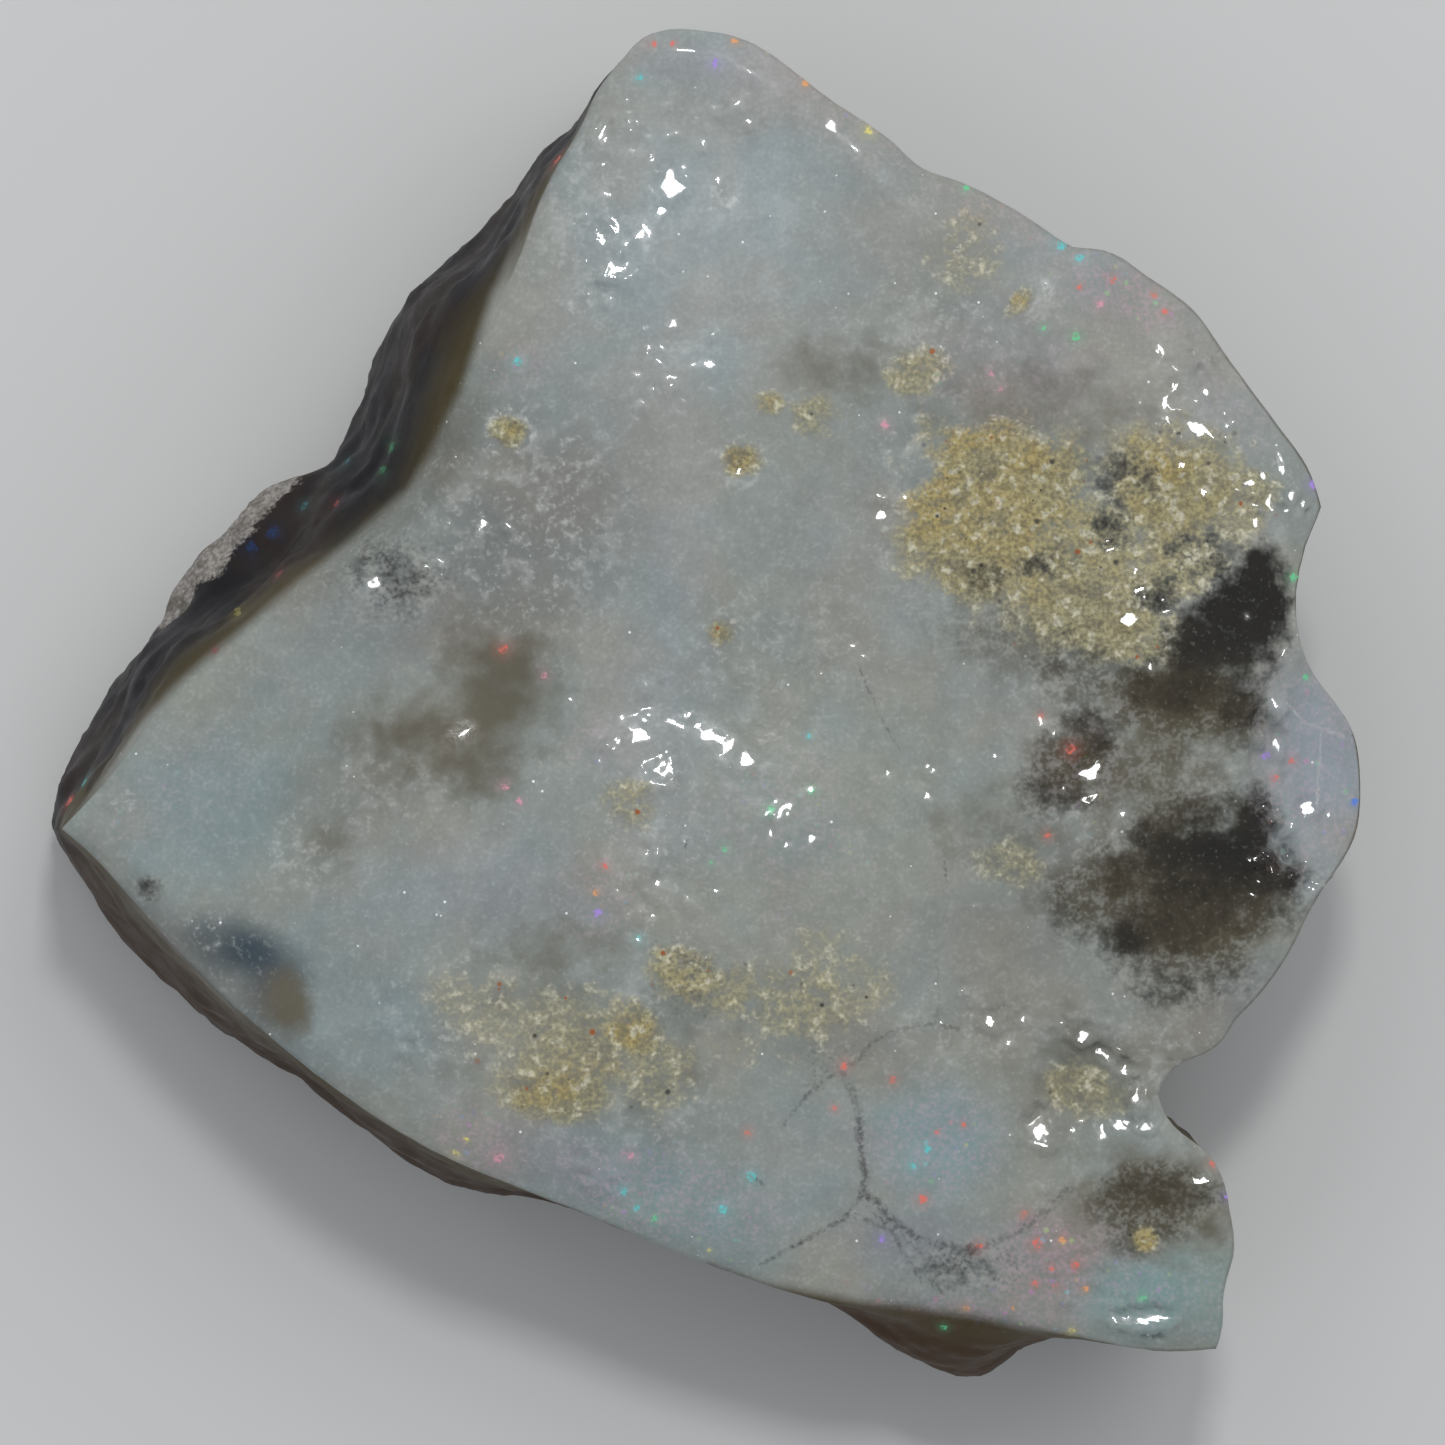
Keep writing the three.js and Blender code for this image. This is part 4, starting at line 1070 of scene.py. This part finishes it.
def makeOpalMaterial():
    look = opalLook
    dots = makeDots()
    mottle = makeMottle()
    material = bpy.data.materials.new("wetOpal")
    material.use_nodes = True
    material.node_tree.nodes.clear()
    net = Net(material.node_tree)
    mix, ramp, painted, calcVector = net.mix, net.ramp, net.painted, net.calcVector

    # four textures serve every layer: broken clouds, granules, fine specks, and sparse dots
    metres = net.add("TexCoord", {}, "Object")
    place = net.add("Mapping", {"Vector": metres, "Scale": (1 / mm, 1 / mm, 1 / mm)})
    clouds, granules, specks = (net.noiseAt(place, *look[name]) for name in ("clouds", "granules", "specks"))
    grain = net.use(dots, Place=place, Fineness=1 / look["grainSize"], Share=1.0, Reach=look["grainReach"])
    chance = grain.other("Chance")
    offClouds = clouds - 0.5
    offGranules = granules - 0.5
    offSpecks = specks - 0.5

    # the milky body, with chalky clumps and grains in it, and tiny white dots: partly white specks, partly
    # painted glints
    smoke = painted("smoke")
    clumps = painted("clumps")
    tint = mix(ramp(net.noiseAt(place, *look["drift"]), 0.35, 0.65), look["warmTint"], look["coolTint"])
    colour = mix(1.0, painted("bodyColour", "Color"), tint, "MULTIPLY")
    for texture, least, most in ((clouds, 0.95, 1.06), (granules, 0.97, 1.03), (specks, 0.96, 1.04)):
        colour = net.shaded(colour, texture, 0.3, 0.7, least, most)
    chalkShare = clumps * ramp(offClouds + offGranules, -0.05, 0.25)
    colour = mix(chalkShare * look["chalkCover"], colour, look["chalk"])
    speckHere = offGranules * 0.8 + specks
    chalkSpecks = ramp(speckHere, 0.58, 0.78) * (clumps * 0.3 + 0.12)
    colour = mix(chalkSpecks, colour, look["chalk"])
    # tiny white dots, partly white specks and partly painted glints
    speckAndGlint = grain.other("Core") * net.calc("GREATER_THAN", chance, look["speckAndGlintFrom"])
    colour = mix(speckAndGlint, colour, look["speckAndGlint"])

    # brown clouds, then smoky zones: black in the middle, brown further out, dissolving in pale grains
    brown = painted("brown")
    brownHere = (offClouds * -0.7 + brown) * ramp(brown, 0.0, 0.3)
    colour = mix(ramp(brownHere, 0.0, 1.0, 0.0, 0.95), colour, look["brownColour"])
    grainy = net.mixNumbers(brown, -0.7, -0.25)
    darkHere = offClouds * -0.55 + offGranules * grainy + smoke + offSpecks * -0.22
    darkHere = darkHere * ramp(smoke, 0.0, 0.35)
    dark = ramp(darkHere, 0.04, 0.9)
    depth = mix(brown * ramp(darkHere, 1.3, 0.6), look["smokeColour"], look["smokeBrown"])
    fluffy = ramp(smoke, 0.02, 0.5) * ramp(speckHere, 0.4, 0.66)
    colour = mix(fluffy * look["fluffCover"], colour, look["fluff"])
    colour = mix(dark * look["smokeCover"], colour, depth)
    colour = mix(dark * ramp(specks, 0.62, 0.78) * look["paleDust"], colour, look["fluff"])

    # sandy patches
    sand = painted("sand")
    sandHere = offClouds * 0.6 + offGranules * 1.1 + sand + offSpecks * 0.3
    sandHere = sandHere * ramp(sand, 0.0, 0.3)
    sandMask = ramp(sandHere, 0.1, 0.95) * ramp(dark, 0.95, 0.25, 0.15, 1.0)
    yellowHere = ramp(offClouds * 1.6 + painted("yellow"), 0.1, 1.1)
    sandTone = mix(yellowHere, look["sandPale"], look["sandYellow"])
    sandTone = mix(ramp(clouds, 0.48, 0.3, 0.0, 0.5), sandTone, look["sandShade"])
    sandTone = mix(ramp(granules, 0.48, 0.34, 0.0, 0.5), sandTone, look["sandShade"])
    sandTone = mix(ramp(granules, 0.54, 0.68, 0.0, 0.75), sandTone, look["sandGrain"])
    tanShare = grain * net.calc("COMPARE", chance, *look["tanDots"]) * yellowHere
    sandTone = mix(tanShare * look["tanCover"], sandTone, look["sandTan"])
    sandTone = net.shaded(sandTone, specks, 0.32, 0.68, 0.72, 1.2)
    colour = mix(sandMask * look["sandCover"], colour, sandTone)
    rare = grain * ramp(sand, 0.1, 0.5)
    colour = mix(rare * net.calc("LESS_THAN", chance, look["rustDots"]), colour, look["rust"])
    blackShare = rare * net.calc("COMPARE", chance, *look["blackDots"])
    colour = mix(blackShare * look["blackCover"], colour, look["blackGrain"])

    # black dust
    dust = ramp(specks, 0.47, 0.3) * painted("pepper") * ramp(clouds, 0.62, 0.4)
    colour = mix(dust * look["dustCover"], colour, look["blackGrain"])

    # dark branching lines, frayed by a fine noise. The third number of veinAway is half the line's width.
    fray = calcVector("SUBTRACT", {0: net.noiseAt(place, *look["fray"], "Color"), 1: (0.5, 0.5, 0.5)})
    fray = calcVector("SCALE", {0: fray, "Scale": look["frayReach"]})
    away = net.add("SeparateXYZ", {0: painted("veinAway", "Vector")})
    flatAway = net.add("CombineXYZ", {0: away, 1: away.other(1)})
    halfWidth = away.other(2)
    distance = calcVector("LENGTH", {0: calcVector("ADD", {0: flatAway, 1: fray})}, "Value")
    vein = ramp(distance, halfWidth * 1.9, halfWidth * 0.2) * painted("vein")
    vein = vein * ramp(clouds, 0.7, 0.4, 0.45, 1.0) * ramp(specks, 0.62, 0.4, 0.4, 1.0)
    colour = mix(vein, colour, look["veinColour"])
    colour = mix(vein * -1.0, colour, look["chalk"])

    # walls, with streaks along them, an olive strip below the edge, and the knob. Their near-black tones
    # are partly smoky opal and partly painted shade, which deepens further below the edge
    wall = net.calc("ADD", painted("wall"), painted("underside"), use_clamp=True)
    stretched = net.add("Mapping", {"Vector": place, "Scale": look["streakScale"]})
    streaks = net.noiseAt(stretched, *look["streaks"])
    wallAndShadeTone = mix(ramp(streaks, 0.45, 0.72, 0.0, 0.8), look["wallGreyAndShade"], look["wallStreakInShade"])
    wallAndShadeTone = mix(painted("rusty"), wallAndShadeTone, look["wallRust"])
    # the olive strip gives way to the painted shade of the dark wall further below the edge
    oliveHere = 1.0 - ramp(painted("below"), 0.3, 2.4)
    oliveTone = mix(ramp(clouds, 0.4, 0.65, 0.0, 0.25), look["wallOlive"], look["brownColour"])
    wallAndShadeTone = mix(oliveHere * look["oliveCover"], wallAndShadeTone, oliveTone)
    broken = specks * 0.7 + clouds * 0.5
    knobHere = ramp(painted("knob") + broken, 0.85, 1.25)
    knobTone = net.use(mottle, Clouds=clouds, Specks=specks, Pale=look["knobColour"], Shade=look["knobShade"])
    # darker spots on the knob where the clouds are high
    knobTone = mix(ramp(clouds, 0.52, 0.66, 0.0, 0.75), knobTone, look["knobDarkSpot"])
    colour = mix(wall, colour, mix(knobHere, wallAndShadeTone, knobTone))

    # the worn underside: a sandy crust with grey opal showing through
    under = ramp(painted("underside") + broken, 0.95, 1.2)
    crustTone = net.use(mottle, Clouds=clouds, Specks=specks, Pale=look["crust"], Shade=look["crustDark"])
    crustTone = mix(painted("rusty"), crustTone, look["brownColour"])
    colour = mix(under, colour, crustTone)

    # flecks of pure colour: placed ones, broken up by a fine noise, and a dusting of tiny ones
    fleckFray = calcVector("SCALE", {0: fray, "Scale": look["fleckFray"]})
    fleckAway = calcVector("ADD", {0: painted("fleckAway", "Vector"), 1: fleckFray})
    fromFleck = calcVector("LENGTH", {0: fleckAway}, "Value")
    fleckNear = painted("fleck")
    fleckColour = painted("fleckColour", "Color")
    fleck = ramp(fromFleck, 1.25, 0.7) * ramp(fleckNear, 0.35, 0.8) * ramp(specks, 0.4, 0.55, 0.25, 1.0)
    halo = ramp(fromFleck, look["haloReach"], 0.6) * fleckNear
    colour = mix(halo * look["haloCover"], colour, fleckColour)
    glow = painted("glow") * (1.0 - wall * look["wallFire"])
    dustShare = glow * ramp(offGranules * 0.6 + specks, 0.36, 0.68)
    dustColour = net.hue(clouds * 5.0 + granules * 1.5, 0.5, 0.52)
    colour = mix(dustShare * look["fireDust"], colour, dustColour)
    dotShare = grain * net.calc("LESS_THAN", chance, look["fireDots"]) * glow
    colour = mix(dotShare * look["fireCover"], colour, net.hue(chance * 4.5, 0.62, 0.6))
    colour = mix(fleck * look["fleckCover"], colour, fleckColour)

    # gloss: wet face, duller sand and walls, dry knob and underside
    dry = net.calc("MAXIMUM", under, knobHere)
    rough = net.mixNumbers(sandMask, look["roughness"], look["sandRoughness"])
    rough = net.mixNumbers(wall, rough, look["wallRoughness"])
    rough = net.mixNumbers(dry, rough, look["dryRoughness"])
    coat = (1.0 - dry * look["dryCoat"]) * (1.0 - wall * look["wallCoat"])

    # relief too fine for the mesh
    height = granules * (sandMask * 0.5 + dry * 2.5 + 0.12)
    shader = net.add("BsdfPrincipled", {
        **opalShader,
        "Base Color": colour,
        # the flecks' faint glow in their own colour is painted light
        "Emission Color": mix(fleck, (0.0, 0.0, 0.0), fleckColour),
        "Roughness": rough * ramp(clouds, 0.3, 0.7, 0.85, 1.2),
        "Coat Weight": coat,
        "Normal": net.add("Bump", {**opalBump, "Height": height}),
    })
    net.add("OutputMaterial", {"Surface": shader})
    return material


# The finished stone

piece, ridge = makeStone()
print("stone rounded:", len(piece.data.polygons), "faces")
finishStone(piece, ridge)
piece.data.materials.clear()
piece.data.materials.append(makeOpalMaterial())
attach(piece, "root")
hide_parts(stone["cadNode"])
print("stone painted")

# Floor, light and camera


def makeFloor():
    shape = bmesh.new()
    bmesh.ops.create_grid(shape, x_segments=1, y_segments=1, size=room["floorSize"] / 2)
    mesh = bpy.data.meshes.new("floor")
    shape.to_mesh(mesh)
    shape.free()
    floor = bpy.data.objects.new("floor", mesh)
    bpy.context.scene.collection.objects.link(floor)
    material = bpy.data.materials.new("paleFloor")
    material.use_nodes = True
    shader = material.node_tree.nodes["Principled BSDF"]
    shader.inputs["Base Color"].default_value = (*room["floorColour"], 1.0)
    shader.inputs["Roughness"].default_value = room["floorRoughness"]
    mesh.materials.append(material)


def makeLights():
    world = bpy.data.worlds.new("studio")
    world.use_nodes = True
    sky = world.node_tree.nodes["Background"]
    sky.inputs["Color"].default_value = (*room["worldColour"], 1.0)
    sky.inputs["Strength"].default_value = room["worldStrength"]
    bpy.context.scene.world = world
    for name, (place, side, watts, mirrored) in lamps.items():
        data = bpy.data.lights.new(name, "AREA")
        data.size = side
        data.energy = watts
        lamp = bpy.data.objects.new(name, data)
        lamp.location = place
        lamp.visible_glossy = mirrored
        toStone = Vector(room["aim"]) - Vector(place)
        lamp.rotation_euler = toStone.to_track_quat("-Z", "Y").to_euler()
        bpy.context.scene.collection.objects.link(lamp)


def makeCamera():
    data = bpy.data.cameras.new("camera")
    distance = cameraSetup["above"][2] - cameraSetup["faceHeight"]
    data.sensor_width = cameraSetup["sensor"]
    data.lens = cameraSetup["sensor"] * distance / cameraSetup["frameWidth"]
    data.clip_start, data.clip_end = cameraSetup["clip"]
    camera = bpy.data.objects.new("camera", data)
    camera.location = cameraSetup["above"]
    bpy.context.scene.collection.objects.link(camera)
    bpy.context.scene.camera = camera


makeFloor()
makeLights()
makeCamera()
bpy.context.scene.view_settings.view_transform = "Standard"
print("stage, light and camera ready")
